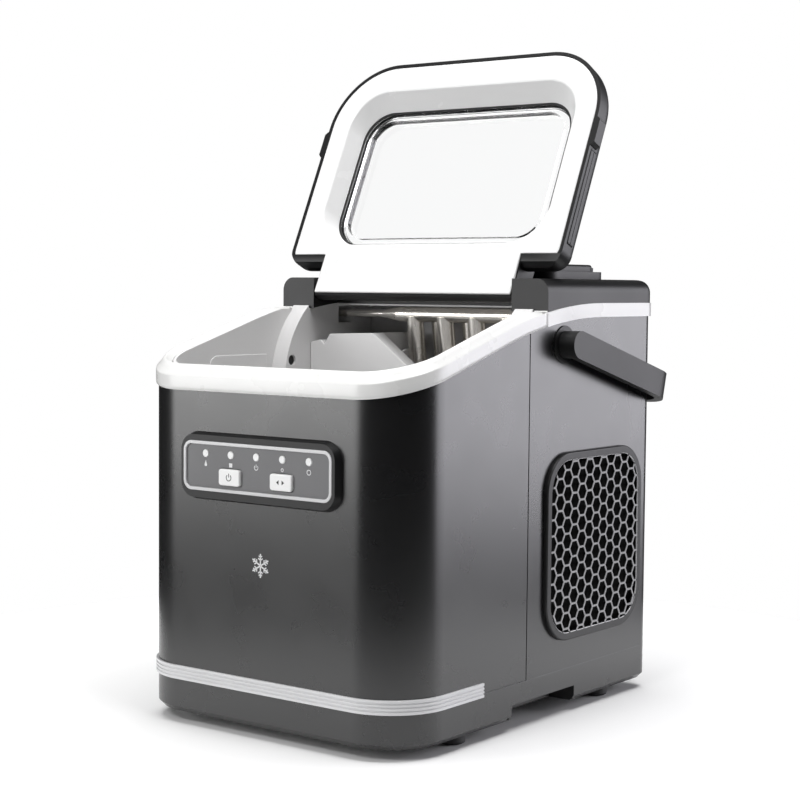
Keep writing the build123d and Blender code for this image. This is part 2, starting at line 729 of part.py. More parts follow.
def window_gasket():
    """Black rubber ring that seals the window to the liner."""
    y = (WINDOW_Y[0] - 3, WINDOW_Y[1] + 3)
    z = (LID_BACK + LID_WALL, RECESS_Z)
    ring = lid_plate(WINDOW_HALF_W + 3, y, WINDOW_R + 3, WINDOW_R + 3, z)
    ring = ring - lid_plate(
        WINDOW_HALF_W - 0.8, (WINDOW_Y[0] + 0.8, WINDOW_Y[1] - 0.8), WINDOW_R, WINDOW_R, (-30, 30)
    )
    groove = lid_plate(
        WINDOW_HALF_W + 1, (WINDOW_Y[0] - 1, WINDOW_Y[1] + 1), WINDOW_R + 1, WINDOW_R + 1, window_z()
    )
    return ring - groove


def window_z():
    return (LID_BACK + LID_WALL + 1.2, RECESS_Z - 1.2)


def lid_window():
    """Clear window with a raised field that stands in the shell's opening."""
    z0, z1 = window_z()
    pane = lid_plate(
        WINDOW_HALF_W + 0.9, (WINDOW_Y[0] - 0.9, WINDOW_Y[1] + 0.9), WINDOW_R + 1, WINDOW_R + 1, (z0, z1)
    )
    field = lid_plate(
        WINDOW_HALF_W - 1.4, (WINDOW_Y[0] + 1.4, WINDOW_Y[1] - 1.4), WINDOW_R, WINDOW_R, (LID_BACK + 0.2, z0)
    )
    dish = lid_plate(
        WINDOW_HALF_W - 6, (WINDOW_Y[0] + 6, WINDOW_Y[1] - 6), WINDOW_R - 5, WINDOW_R - 5, (LID_BACK + 3, 30)
    )
    return pane + field - dish


def hinge_pins():
    return [
        rod_x((TONGUE_HALF_W - 14, SHOULDER_X + 8), 0, 0, PIN_R),
        rod_x((-SHOULDER_X - 8, -TONGUE_HALF_W + 14), 0, 0, PIN_R),
    ]


# ---- carry handle ----
def handle_place():
    return Pos(0, PIVOT_Y, PIVOT_Z) * Rot(-HANDLE_DROP, 0, 0)


def carry_handle():
    """Bail drawn about its pivot axis: two arms reaching back, joined by a cross bar."""
    outer = Pos(0, ARM_REACH / 2 - 40) * Rectangle(2 * ARM_OUT_X, ARM_REACH + 80)
    outer = fillet(outer.vertices().group_by(Axis.Y)[-1], HANDLE_CORNER_R)
    inner_reach = ARM_REACH - ARM_T - 0.5
    inner = Pos(0, inner_reach / 2 - 50) * Rectangle(2 * (ARM_OUT_X - ARM_T), inner_reach + 100)
    inner = fillet(inner.vertices().group_by(Axis.Y)[-1], HANDLE_CORNER_R - ARM_T)
    bail = extrude(Plane.XY.offset(-ARM_H / 2) * (outer - inner), ARM_H)
    keep = block((-CASE_W, CASE_W), (0, CASE_W), (-50, 50))
    keep = keep + rod_x((-CASE_W, CASE_W), 0, 0, ARM_H / 2)
    bail = bail & keep
    hubs = mirrored_x(rod_x((HALF_W + 1.2, ARM_OUT_X - ARM_T), 0, 0, HUB_R))
    sockets = mirrored_x(rod_x((HALF_W, ARM_OUT_X - 2.5), 0, 0, PIVOT_PIN_R))
    return bail + hubs - sockets


def handle_pins():
    """Shouldered pins fixed in the hubs, running in the bushes, with a retaining head inside."""
    pin = rod_x((HALF_W - 5.6, ARM_OUT_X - 2.5), 0, 0, PIVOT_PIN_R)
    head = rod_x((HALF_W - 8.0, HALF_W - 5.6), 0, 0, 6.0)
    return [pin + head, mirror(pin + head, Plane.YZ)]


def handle_bushes():
    """Round bushes clipped in the side walls, which carry the handle's pins."""
    flange = rod_x((HALF_W, HALF_W + 0.9), PIVOT_Y, PIVOT_Z, BUSH_R)
    neck = rod_x((HALF_W - WALL - 3.0, HALF_W), PIVOT_Y, PIVOT_Z, HUB_R + 1.1)
    bore = rod_x((HALF_W - 20, HALF_W + 20), PIVOT_Y, PIVOT_Z, PIVOT_PIN_R + PIN_CLEARANCE)
    bush = flange + neck - bore
    return [bush, mirror(bush, Plane.YZ)]


# ---- bin and ice chamber ----
def tank_plan(inset, y_back, z):
    """Bin or chamber outline in plan, drawn in by an inset."""
    half_w = TANK_HALF_W - inset
    plan = Pos(0, (TANK_FRONT_Y + y_back) / 2) * Rectangle(2 * half_w, y_back - TANK_FRONT_Y - 2 * inset)
    plan = fillet(plan.vertices().group_by(Axis.Y)[0], FRONT_R - RIM_INSET - inset)
    return extrude(Plane.XY.offset(z[0]) * plan, z[1] - z[0])


def cheek(side):
    """Round-fronted housing on a side wall of the chamber."""
    near, far = sorted((side * CHEEK_X, side * (TANK_HALF_W - 0.5)))
    disc = rod_x((near, far), CHEEK_ARC_Y, CHEEK_ARC_Z, CHEEK_ARC_R)
    body = disc & block((near, far), (0, CHAMBER_Y - 1), (CHAMBER_FLOOR_Z, CHAMBER_TOP_Z + 1))
    return body


def inner_tank():
    """Grey bin with the ice chamber opening off its back, moulded in one piece."""
    t = TANK_WALL
    outer = tank_plan(0, 150.0, (TANK_FLOOR_Z, 300)) + tank_plan(
        0, CHAMBER_Y + t, (CHAMBER_FLOOR_Z - t, 300)
    )
    inner = tank_plan(t, 150.0, (TANK_FLOOR_Z + t, 301)) + tank_plan(
        t, CHAMBER_Y + t, (CHAMBER_FLOOR_Z, 301)
    )
    tank = outer - inner
    tank = tank - above_rim(RIM_LIP_H - 0.2)
    tank = tank - block((-200, 200), (0, RIM_END_Y + 1), (RIM_RIDGE_MAX_Z - 1.7, 400))
    tank = tank - block((-200, 200), (RIM_END_Y, 300), (CHAMBER_TOP_Z + 1.5, 400))
    tank = tank + cheek(-1) + cheek(1)
    ledge_top = BASKET_Z[1] - BASKET_RIM_H
    ledge = block((BASKET_HALF_W + 1, TANK_HALF_W - 1), (34, 108), (ledge_top - 4, ledge_top))
    tank = tank + mirrored_x(ledge)
    tank = tank + block((-98, 98), (176, CHAMBER_Y + 1), (CHAMBER_TOP_Z, CHAMBER_TOP_Z + 1.5))
    shaft_y, shaft_z = TRAY_PIVOT
    tank = tank - rod_x((80, TANK_HALF_W - 4), shaft_y, shaft_z, 3.5 + PIN_CLEARANCE)
    tube_slot = block((-TANK_HALF_W - 1, -CHEEK_X + 1), (TUBE_Y - 7, TUBE_Y + 7), (TUBE_Z - 7, TUBE_Z + 5))
    tank = tank - tube_slot - rod_x((CHEEK_X - 1, TUBE_END_X), TUBE_Y, TUBE_Z, TUBE_R)
    under_deck = above_rim(RIM_BAND_H - 0.2) & block((-200, 200), (RIM_END_Y, 300), (0, 400))
    tank = tank - under_deck
    sensor_y, sensor_z = SENSOR_SPOT
    tank = tank - rod_x((-TANK_HALF_W - 1, TANK_HALF_W + 1), sensor_y, sensor_z, 3.7)
    tank = tank - rod_z(-60, 40, (TANK_FLOOR_Z - 1, TANK_FLOOR_Z + 3), 4.1)
    return tank


def ir_sensors():
    """Infra-red emitter and receiver, one in each cheek, that see when the basket is full."""
    y, z = SENSOR_SPOT
    lens = rod_x((CHEEK_X + 1.5, TANK_HALF_W - 1), y, z, 3.6)
    return [lens, mirror(lens, Plane.YZ)]


def gear_cover():
    """Grey cover over the tray's gear motor, with a sloping side towards the fingers."""
    outline = Polyline(
        (-CHEEK_X + 0.3, 190),
        (-CHEEK_X + 0.3, 244),
        (-78.5, 246),
        (-75, 243),
        (-70, 250.3),
        (-31, 251.6),
        (-1, 229.5),
        (-11, 190),
        close=True,
    )
    face = Plane.XZ * make_face(outline)
    body = Pos(0, BLOCK_Y + 64, 0) * extrude(face, 64)
    hollow = Pos(0, BLOCK_Y + 66, 0) * extrude(Plane.XZ * offset(make_face(outline), -2.0), 64)
    cover = body - hollow
    cover = cover - block((TRAY_X[0] - 2.5, 10), (BLOCK_Y + 12, 300), (100, 300))
    side_wall = block((TRAY_X[0] - 4.5, TRAY_X[0] - 2.5), (BLOCK_Y + 2, BLOCK_Y + 64), (190, 250))
    shaft_y, shaft_z = TRAY_PIVOT
    return cover + side_wall - rod_x((-45, 10), shaft_y, shaft_z, 5.0)


def tray_motor():
    """Small gear motor that tips the water tray."""
    shaft_y, shaft_z = TRAY_PIVOT
    x_face = TRAY_X[0] - 4.5
    gearbox = block((x_face - 26, x_face), (shaft_y - 18, shaft_y + 14), (shaft_z - 26, shaft_z + 10))
    can = rod_x((-82, x_face - 26), shaft_y, shaft_z - 8, 12)
    bore = rod_x((x_face - 14, 0), shaft_y, shaft_z, 3.0 + PIN_CLEARANCE)
    return gearbox + can - bore


def tray_shaft():
    """Drive stub fixed in the tray's left end, and the idle stub at its right end."""
    y, z = TRAY_PIVOT
    drive = rod_x((TRAY_X[0] - 16, TRAY_X[0] + 2.5), y, z, 3.0)
    idle = rod_x((TRAY_X[1] - 2.5, TANK_HALF_W - 6), y, z, 3.5)
    return [drive, idle]


def water_tray():
    """Half-round trough below the fingers, with end plates that hang from the tray's axis."""
    y, z = TRAY_PIVOT
    trough = rod_x(TRAY_X, y, z, TRAY_R) - rod_x((TRAY_X[0] + 2.5, TRAY_X[1] - 2.5), y, z, TRAY_R - 2.0)
    upper = block((TRAY_X[0] - 1, TRAY_X[1] + 1), (y - 60, y + 60), (z - 8, z + 60))
    trough = trough - upper
    x_ends = ((TRAY_X[0], TRAY_X[0] + 2.5), (TRAY_X[1] - 2.5, TRAY_X[1]))
    for ends in x_ends:
        web = Plane.YZ.offset(ends[0]) * make_face(
            Polyline((y - 25, z - 9), (y - 7, z + 6), (y + 7, z + 6), (y + 25, z - 9), close=True)
        )
        trough = trough + extrude(web, 2.5) + rod_x(ends, y, z, 7.5)
    lip = block(TRAY_X, (y - TRAY_R - 1.5, y - TRAY_R + 1.5), (z - 11, z - 8))
    return trough + lip - rod_x((-60, TRAY_X[0] + 3), y, z, 3.0) - rod_x((TRAY_X[1] - 3, 120), y, z, 3.5)


def evaporator_tube():
    """Plated cross tube that feeds the fingers, necked down where it enters the left cheek."""
    thick = rod_x((FINGER_FIRST_X - 12, TUBE_END_X), TUBE_Y, TUBE_Z, TUBE_R)
    cone = Pos(FINGER_FIRST_X - 20, TUBE_Y, TUBE_Z) * Rot(0, 90, 0) * Cone(2.6, TUBE_R, 16)
    thin = rod_x((-TANK_HALF_W + 4, FINGER_FIRST_X - 28), TUBE_Y, TUBE_Z, 2.6)
    shelf = block(
        (FINGER_FIRST_X - 10, 86),
        (TUBE_Y, TUBE_Y + FINGER_ROW_GAP + 7),
        (TUBE_Z - 2.5, TUBE_Z + 2.5),
    )
    return thick + cone + thin + shelf


def finger_spots():
    front = [(FINGER_FIRST_X + FINGER_PITCH * step, 0.0) for step in range(5)]
    front = [spot for spot in front if spot[0] < 80]
    back = [(FINGER_FIRST_X + FINGER_PITCH * (step + 0.5), FINGER_ROW_GAP) for step in range(4)]
    return front + back


def evaporator_fingers():
    """Plated fingers that the bullets of ice freeze on."""
    fingers = []
    tube = evaporator_tube()
    for x, back in finger_spots():
        rod = Pos(0, 0, -FINGER_LENGTH / 2) * Cylinder(FINGER_R, FINGER_LENGTH)
        rod = fillet(rod.faces().sort_by(Axis.Z)[0].edges(), FINGER_R - 0.4)
        rod = Pos(x, TUBE_Y + back, TUBE_Z - 1) * Rot(FINGER_LEAN, 0, 0) * rod
        fingers.append(rod - tube)
    return fingers


def ice_basket():
    """Lift-out basket with slotted walls and floor."""
    x = (-BASKET_HALF_W, BASKET_HALF_W)
    t = 2.0
    outer = round_box_z(x, BASKET_Y, BASKET_Z, 14)
    inner = round_box_z(
        (x[0] + t, x[1] - t), (BASKET_Y[0] + t, BASKET_Y[1] - t), (BASKET_Z[0] + t, BASKET_Z[1] + 5), 12
    )
    rim = round_box_z(
        (x[0] - BASKET_RIM_OUT, x[1] + BASKET_RIM_OUT),
        (BASKET_Y[0] - BASKET_RIM_OUT, BASKET_Y[1] + BASKET_RIM_OUT),
        (BASKET_Z[1] - BASKET_RIM_H, BASKET_Z[1]),
        17,
    )
    basket = outer + rim - inner
    slots = []
    for step in range(-6, 7):
        slot_x = (step * 12 - 2.5, step * 12 + 2.5)
        slots.append(block(slot_x, (0, 200), (BASKET_Z[0] + 12, BASKET_Z[1] - 16)))
    for step in range(-2, 3):
        middle = sum(BASKET_Y) / 2 + step * 16
        slots.append(block((-120, 120), (middle - 2.5, middle + 2.5), (BASKET_Z[0] + 12, BASKET_Z[1] - 16)))
        slots.append(block((-66, 66), (middle - 2.0, middle + 2.0), (BASKET_Z[0] - 5, BASKET_Z[0] + 5)))
    return basket - joined(slots)


def foam_insulation():
    """Moulded foam round the lower bin."""
    gap = 0.4
    outer = tank_plan(-5.0, 150.0, (TANK_FLOOR_Z - 12, 190)) & case_block(WALL + 2.2, (0, 300))
    inner = tank_plan(-gap, 150.0, (TANK_FLOOR_Z - gap, 200))
    foam = outer - inner
    foam = foam - rod_z(-60, 40, (0, 100), 7.5)
    foam = foam - block((-70, 70), (0, 10.0), (140, 200))
    return foam - block((-200, 200), (122, 300), (0, 300))


def water_pump():
    """Small pump that stands on the bin floor and lifts water to the tray."""
    z = TANK_FLOOR_Z + TANK_WALL
    body = rod_z(60, 118, (z, z + 30), 14)
    body = body + block((46, 60), (108, 128), (z, z + 12))
    spigot = rod_z(60, 118, (z + 30, z + 38), 3.0)
    return body + spigot


def pump_hose():
    """Soft hose from the pump up the back corner of the bin to above the tray."""
    z = TANK_FLOOR_Z + TANK_WALL + 30.2
    points = [(60, 118, z), (60, 118, 112), (78, 136, 150), (78, 136, 206), (78, 158, 224)]
    path = FilletPolyline(*points, radius=[18, 20, 14])
    start = Plane(points[0], z_dir=(0, 0, 1))
    hose = sweep(start * (Circle(4.6) - Circle(3.1)), path=path)
    return hose


def drain_tube():
    """Tube from the bin floor to the drain in the left side of the base."""
    down = rod_z(-60, 40, (DRAIN_Z + 12, TANK_FLOOR_Z + TANK_WALL - 0.5), 4.0)
    points = [
        (-60, 40, DRAIN_Z + 12),
        (-60, 40, DRAIN_Z),
        (-80, DRAIN_Y, DRAIN_Z),
        (-92, DRAIN_Y, DRAIN_Z),
    ]
    path = FilletPolyline(*points, radius=[8, 8])
    start = Plane(points[0], z_dir=(0, 0, -1))
    tube = sweep(start * Circle(4.0), path=path) + down
    mouth = rod_x((-HALF_W + 1, -91.5), DRAIN_Y, DRAIN_Z, 6.8)
    bore = rod_x((-HALF_W - 5, -HALF_W + 14), DRAIN_Y, DRAIN_Z, DRAIN_BORE_R)
    return tube + mouth - bore


def drain_plug():
    """Soft plug with a pull tab, pushed into the drain mouth."""
    stem = rod_x((-HALF_W + 0.6, -HALF_W + 12), DRAIN_Y, DRAIN_Z, DRAIN_BORE_R - PIN_CLEARANCE)
    head = rod_x((-HALF_W - 1.6, -HALF_W + 0.6), DRAIN_Y, DRAIN_Z, 6.5)
    tab = block((-HALF_W - 3.6, -HALF_W - 1.6), (DRAIN_Y - 2, DRAIN_Y + 2), (DRAIN_Z - 5, DRAIN_Z + 5))
    return stem + head + tab


# ---- refrigeration and electrics ----
def chassis_plate():
    plate = block((-103, 90), (140, 280), (FOOT_H + BASE_WALL, FOOT_H + BASE_WALL + 1.5))
    notches = block((-200, -88), (110, 194), (0, 50)) + block((88, 200), (110, 194), (0, 50))
    plate = plate - notches
    for x, y in foot_spots():
        plate = plate - rod_z(x, y, (0, 30), 4.0)
    for x, y in compressor_feet():
        plate = plate - rod_z(x, y, (0, 30), 2.1)
    return plate


def compressor_feet():
    return [
        (COMPRESSOR_X + 50 * cos(radians(turn)), COMPRESSOR_Y + 50 * sin(radians(turn)))
        for turn in (40, 160, 280)
    ]


def compressor():
    """Welded steel compressor pot on a three-lobed foot plate."""
    z0, z1 = COMPRESSOR_Z
    pot = rod_z(COMPRESSOR_X, COMPRESSOR_Y, (z0, z1), COMPRESSOR_R)
    pot = fillet(pot.faces().sort_by(Axis.Z)[-1].edges(), 22)
    pot = fillet(pot.faces().sort_by(Axis.Z)[0].edges(), 6)
    seam = rod_z(COMPRESSOR_X, COMPRESSOR_Y, (z0 + 70, z0 + 74), COMPRESSOR_R + 1.8)
    foot = rod_z(COMPRESSOR_X, COMPRESSOR_Y, (z0 - 3, z0 + 1), 44)
    for x, y in compressor_feet():
        foot = foot + rod_z(x, y, (z0 - 3, z0), 9)
    can = pot + seam + foot
    for x, y in compressor_feet():
        can = can - rod_z(x, y, (z0 - 10, z0 + 5), 3.2)
    return can


def compressor_grommets():
    grommets = []
    for x, y in compressor_feet():
        body = rod_z(x, y, (CHASSIS_TOP, COMPRESSOR_Z[0] - 3), 7.0) + rod_z(
            x, y, (COMPRESSOR_Z[0] - 3, COMPRESSOR_Z[0] + 2), 3.1
        )
        grommets.append(body - rod_z(x, y, (0, 50), 2.0))
    return grommets


def condenser():
    """Block of thin fins on copper loops, behind the right grille."""
    x0, x1 = CONDENSER_X
    fins = []
    step = 5.0
    count = int((CONDENSER_Y[1] - CONDENSER_Y[0]) / step)
    for number in range(count + 1):
        y = CONDENSER_Y[0] + number * step
        fins.append(block((x0, x1), (y - 0.5, y + 0.5), CONDENSER_Z))
    y_ends = (CONDENSER_Y[0] - 4, CONDENSER_Y[0] + count * step + 4)
    tubes = []
    for row in range(6):
        z = CONDENSER_Z[0] + 11 + row * 18.5
        tubes.append(rod_y((x0 + x1) / 2, y_ends, z, 3.0))
    return joined(fins + tubes)


def fan_shroud():
    """Square frame that holds the fan against the condenser."""
    x = (56.0, 77.0)
    frame = block(x, (FAN_Y - 50, FAN_Y + 50), (FAN_Z - 50, FAN_Z + 50))
    frame = frame - rod_x((x[0] - 1, x[1] + 1), FAN_Y, FAN_Z, FAN_R + 2.0)
    spokes = block((56, 58), (FAN_Y - 47, FAN_Y + 47), (FAN_Z - 3, FAN_Z + 3))
    spokes = spokes + block((56, 58), (FAN_Y - 3, FAN_Y + 3), (FAN_Z - 47, FAN_Z + 47))
    return frame + spokes - rod_x((50, 60), FAN_Y, FAN_Z, 1.6)


def fan_motor():
    body = rod_x((36, 56), FAN_Y, FAN_Z, 17)
    shaft = rod_x((56, 70), FAN_Y, FAN_Z, 1.6)
    return body + shaft


def fan_rotor():
    """Seven-bladed rotor that runs on the motor's shaft."""
    hub = rod_x((59.5, 74), FAN_Y, FAN_Z, 14)
    blades = []
    for number in range(7):
        blade = Pos(0, 0, 25.5) * Rot(0, 0, 32) * Box(1.8, 20, 33)
        blades.append(Pos(66.8, FAN_Y, FAN_Z) * Rot(number * 360 / 7, 0, 0) * blade)
    rotor = hub + joined(blades)
    rim_limit = rod_x((59.5, 75.5), FAN_Y, FAN_Z, FAN_R)
    rotor = rotor & rim_limit
    return rotor - rod_x((50, 71.5), FAN_Y, FAN_Z, 1.6 + PIN_CLEARANCE)


def pipe(points, radii, radius):
    path = FilletPolyline(*points, radius=radii)
    direction = Vector(*points[1]) - Vector(*points[0])
    return sweep(Plane(points[0], z_dir=direction) * Circle(radius), path=path)


def copper_pipes():
    """Discharge, liquid and suction lines."""
    discharge = pipe(
        [
            (COMPRESSOR_X + 12, 210, COMPRESSOR_Z[1]),
            (COMPRESSOR_X + 12, 210, 158),
            (20, 185, 158),
            (88, 185, 166.5),
            (88, 185, CONDENSER_Z[1]),
        ],
        [5, 9, 2.0],
        2.5,
    )
    suction = pipe(
        [
            (COMPRESSOR_X - 10, 236, COMPRESSOR_Z[1]),
            (COMPRESSOR_X - 10, 236, 164),
            (-96, 236, 164),
            (-96, 236, 240),
        ],
        [8, 10],
        3.2,
    )
    return [discharge, suction]


def filter_drier():
    body = rod_z(34, 262, (60, 130), 8)
    neck = rod_z(34, 262, (50, 140), 3)
    return body + neck


def hot_gas_valve():
    body = block((66, 94), (CHAMBER_Y + TANK_WALL, 250), (180, 204))
    coil = rod_z(80, 237, (204, 226), 11)
    return body + coil


def control_board():
    """Relay board on the chamber's back, above the compressor."""
    board = block((-70, 60), (232, 233.6), (178, 238))
    relays = [block((x - 8, x + 8), (233.6, 243), (186, 202)) for x in (-50, 40)]
    transformer = block((-22, 0), (233.6, 254), (206, 232))
    return board + joined(relays) + transformer


# ---- nodes ----
def to_lid(piece):
    return lid_place(LID_LEAN) * piece


def to_handle(piece):
    return handle_place() * piece


def nodes():
    return {
        "front_shell": front_shell(),
        "rear_shell": rear_shell(),
        "rear_screws": rear_screws(),
        "base_tray": base_tray(),
        "rubber_feet": rubber_feet(),
        "foot_screws": foot_screws(),
        "trim_strip": trim_strip(),
        "rim_bezel": rim_bezel(),
        "rear_deck": rear_deck(),
        "vent_cap": vent_cap(),
        "cap_screws": cap_screws(),
        "right_grille": side_grille(1),
        "left_grille": side_grille(-1),
        "cord_inlet_bush": cord_inlet_bush(),
        "panel_bezel": panel_bezel(),
        "panel_frame": panel_frame(),
        "panel_overlay": panel_overlay(),
        "led_lenses": led_lenses(),
        "power_button": push_button(BUTTON_X[0]),
        "select_button": push_button(BUTTON_X[1]),
        "display_board": display_board(),
        "lid_shell": to_lid(lid_shell()),
        "lid_liner": to_lid(lid_liner()),
        "lid_window": to_lid(lid_window()),
        "window_gasket": to_lid(window_gasket()),
        "hinge_pins": [to_lid(pin) for pin in hinge_pins()],
        "carry_handle": to_handle(carry_handle()),
        "handle_pins": [to_handle(pin) for pin in handle_pins()],
        "handle_bushes": handle_bushes(),
        "inner_tank": inner_tank(),
        "ir_sensors": ir_sensors(),
        "gear_cover": gear_cover(),
        "tray_motor": tray_motor(),
        "tray_shaft": tray_shaft(),
        "water_tray": water_tray(),
        "evaporator_tube": evaporator_tube(),
        "evaporator_fingers": evaporator_fingers(),
        "ice_basket": ice_basket(),
        "foam_insulation": foam_insulation(),
        "water_pump": water_pump(),
        "pump_hose": pump_hose(),
        "drain_tube": drain_tube(),
        "drain_plug": drain_plug(),
        "chassis_plate": chassis_plate(),
        "compressor": compressor(),
        "compressor_grommets": compressor_grommets(),
        "condenser": condenser(),
        "fan_shroud": fan_shroud(),
        "fan_motor": fan_motor(),
        "fan_rotor": fan_rotor(),
        "copper_pipes": copper_pipes(),
        "filter_drier": filter_drier(),
        "hot_gas_valve": hot_gas_valve(),
        "control_board": control_board(),
    }


def write(name, shape):
    """Write one node, with each of its separate solids, moved to the shared origin."""
    pieces = shape if isinstance(shape, list) else [shape]
    solids = [solid for piece in pieces for solid in piece.solids()]
    move = Pos(0, -MIDDLE_Y, 0)
    placed = [move * solid for solid in solids]
    whole = placed[0] if len(placed) == 1 else Compound(children=placed)
    export_step(whole, f"parts/{name}.step")


def main():
    os.makedirs("parts", exist_ok=True)
    for name, shape in nodes().items():
        write(name, shape)


if __name__ == "__main__":
    main()
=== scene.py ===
import json
import math
import bmesh
import bpy
from mathutils import Matrix, Vector


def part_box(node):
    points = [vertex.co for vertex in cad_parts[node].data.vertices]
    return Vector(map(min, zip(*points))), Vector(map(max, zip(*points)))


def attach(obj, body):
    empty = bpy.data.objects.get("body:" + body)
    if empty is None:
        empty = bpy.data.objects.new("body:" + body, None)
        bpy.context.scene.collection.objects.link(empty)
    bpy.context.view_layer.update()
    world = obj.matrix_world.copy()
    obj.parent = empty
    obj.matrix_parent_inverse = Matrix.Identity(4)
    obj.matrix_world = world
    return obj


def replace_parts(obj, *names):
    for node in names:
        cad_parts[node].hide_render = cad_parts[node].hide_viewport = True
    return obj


# Looks for the countertop ice maker. Metres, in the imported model's own frame.

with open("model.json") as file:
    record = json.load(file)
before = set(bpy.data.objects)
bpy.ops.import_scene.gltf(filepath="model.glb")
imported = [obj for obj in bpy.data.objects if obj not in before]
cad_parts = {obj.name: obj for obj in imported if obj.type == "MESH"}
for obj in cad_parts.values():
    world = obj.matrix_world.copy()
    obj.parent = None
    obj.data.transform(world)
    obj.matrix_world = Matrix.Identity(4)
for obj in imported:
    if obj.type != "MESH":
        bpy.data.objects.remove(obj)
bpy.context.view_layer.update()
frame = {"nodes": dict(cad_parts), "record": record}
MM = 0.001
FRONT_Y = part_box("front_shell")[0].y
LID_AXIS = Vector((0, FRONT_Y + 160.0 * MM, 286.5 * MM))
LID_LEAN = math.radians(24.7)
LID_SIDE_X = 115.45
CASE_HALF_W = 112.0
CASE_CORNER_R = 40.0
SIDE_X = CASE_HALF_W * MM
GRILLE_MIDDLE_Y = FRONT_Y + 211.35 * MM
GRILLE_MIDDLE_Z = 113.25 * MM

# ---- camera ----
CAMERA_PLACE = (0.73165, -0.81994 + FRONT_Y, 0.28438)
CAMERA_YAW = math.radians(37.2585)
CAMERA_PITCH = math.radians(3.66998)
CAMERA_ROLL = math.radians(0.48186)
CAMERA_LENS = 79.917


# ---- material helpers ----
def new_material(name):
    """Empty node material, with its node tree and its shader."""
    made = bpy.data.materials.new(name)
    made.use_nodes = True
    tree = made.node_tree
    shader = tree.nodes["Principled BSDF"]
    return made, tree, shader


def noise(tree, scale, detail=4.0, stretch=(1, 1, 1)):
    """Noise in the object's own coordinates."""
    coords = tree.nodes.new("ShaderNodeTexCoord")
    mapping = tree.nodes.new("ShaderNodeMapping")
    mapping.inputs["Scale"].default_value = stretch
    texture = tree.nodes.new("ShaderNodeTexNoise")
    texture.inputs["Scale"].default_value = scale
    texture.inputs["Detail"].default_value = detail
    tree.links.new(coords.outputs["Object"], mapping.inputs["Vector"])
    tree.links.new(mapping.outputs["Vector"], texture.inputs["Vector"])
    return texture.outputs["Fac"]


def spread(tree, value, low, high):
    """Maps a noise value on to a range."""
    node = tree.nodes.new("ShaderNodeMapRange")
    node.inputs["From Min"].default_value = 0.3
    node.inputs["From Max"].default_value = 0.7
    node.inputs["To Min"].default_value = low
    node.inputs["To Max"].default_value = high
    tree.links.new(value, node.inputs["Value"])
    return node.outputs["Result"]


def two_tone(tree, value, first, second):
    """Blends two colours by a noise value."""
    node = tree.nodes.new("ShaderNodeMix")
    node.data_type = "RGBA"
    node.inputs["A"].default_value = (*first, 1)
    node.inputs["B"].default_value = (*second, 1)
    tree.links.new(value, node.inputs["Factor"])
    return node.outputs["Result"]


def math_node(tree, operation, first, second=None):
    """Result of a sum on one or two values, each a number or another node's output."""
    node = tree.nodes.new("ShaderNodeMath")
    node.operation = operation
    for number, value in enumerate((first, second)):
        if isinstance(value, bpy.types.NodeSocket):
            tree.links.new(value, node.inputs[number])
        elif value is not None:
            node.inputs[number].default_value = value
    return node.outputs["Value"]


def grain(tree, shader, scale, strength, depth):
    """Fine moulded texture as a bump."""
    bump = tree.nodes.new("ShaderNodeBump")
    bump.inputs["Strength"].default_value = strength
    bump.inputs["Distance"].default_value = depth
    tree.links.new(noise(tree, scale, 2.0), bump.inputs["Height"])
    tree.links.new(bump.outputs["Normal"], shader.inputs["Normal"])


def plastic(name, tone, rough, grain_scale=1800.0, grain_strength=0.1, coat=0.0, vary=0.12, shine=0.5):
    """Moulded plastic: slight cloudiness in colour and gloss, and a fine surface grain."""
    made, tree, shader = new_material(name)
    cloud = noise(tree, 14.0)
    darker = tuple(c * (1 - vary) for c in tone)
    lighter = tuple(min(1.0, c * (1 + vary)) for c in tone)
    tree.links.new(two_tone(tree, cloud, darker, lighter), shader.inputs["Base Color"])
    smudge = noise(tree, 32.0)
    tree.links.new(spread(tree, smudge, rough - 0.015, rough + 0.015), shader.inputs["Roughness"])
    shader.inputs["Coat Weight"].default_value = coat
    shader.inputs["Specular IOR Level"].default_value = shine
    shader.inputs["Coat Roughness"].default_value = 0.12
    grain(tree, shader, grain_scale, grain_strength, 0.00003)
    return made


def metal(name, tone, rough, stretch=(1, 1, 1), scratch=0.05):
    """Bare or plated metal with faint directional marks."""
    made, tree, shader = new_material(name)
    shader.inputs["Metallic"].default_value = 1.0
    cloud = noise(tree, 20.0)
    darker = tuple(c * 0.9 for c in tone)
    tree.links.new(two_tone(tree, cloud, darker, tone), shader.inputs["Base Color"])
    marks = noise(tree, 260.0, 6.0, stretch)
    tree.links.new(spread(tree, marks, rough, rough + scratch), shader.inputs["Roughness"])
    return made


def clear_plastic():
    """Clear window, very slightly hazy."""
    made, tree, shader = new_material("clear")
    shader.inputs["Base Color"].default_value = (0.985, 0.99, 0.99, 1)
    shader.inputs["Transmission Weight"].default_value = 1.0
    shader.inputs["IOR"].default_value = 1.46
    haze = noise(tree, 22.0)
    tree.links.new(spread(tree, haze, 0.0, 0.03), shader.inputs["Roughness"])
    return made


def foam_material():
    made, tree, shader = new_material("foam")
    cells = tree.nodes.new("ShaderNodeTexVoronoi")
    cells.inputs["Scale"].default_value = 260.0
    tone = two_tone(tree, cells.outputs["Distance"], (0.82, 0.82, 0.8), (0.6, 0.6, 0.58))
    tree.links.new(tone, shader.inputs["Base Color"])
    shader.inputs["Roughness"].default_value = 0.9
    return made


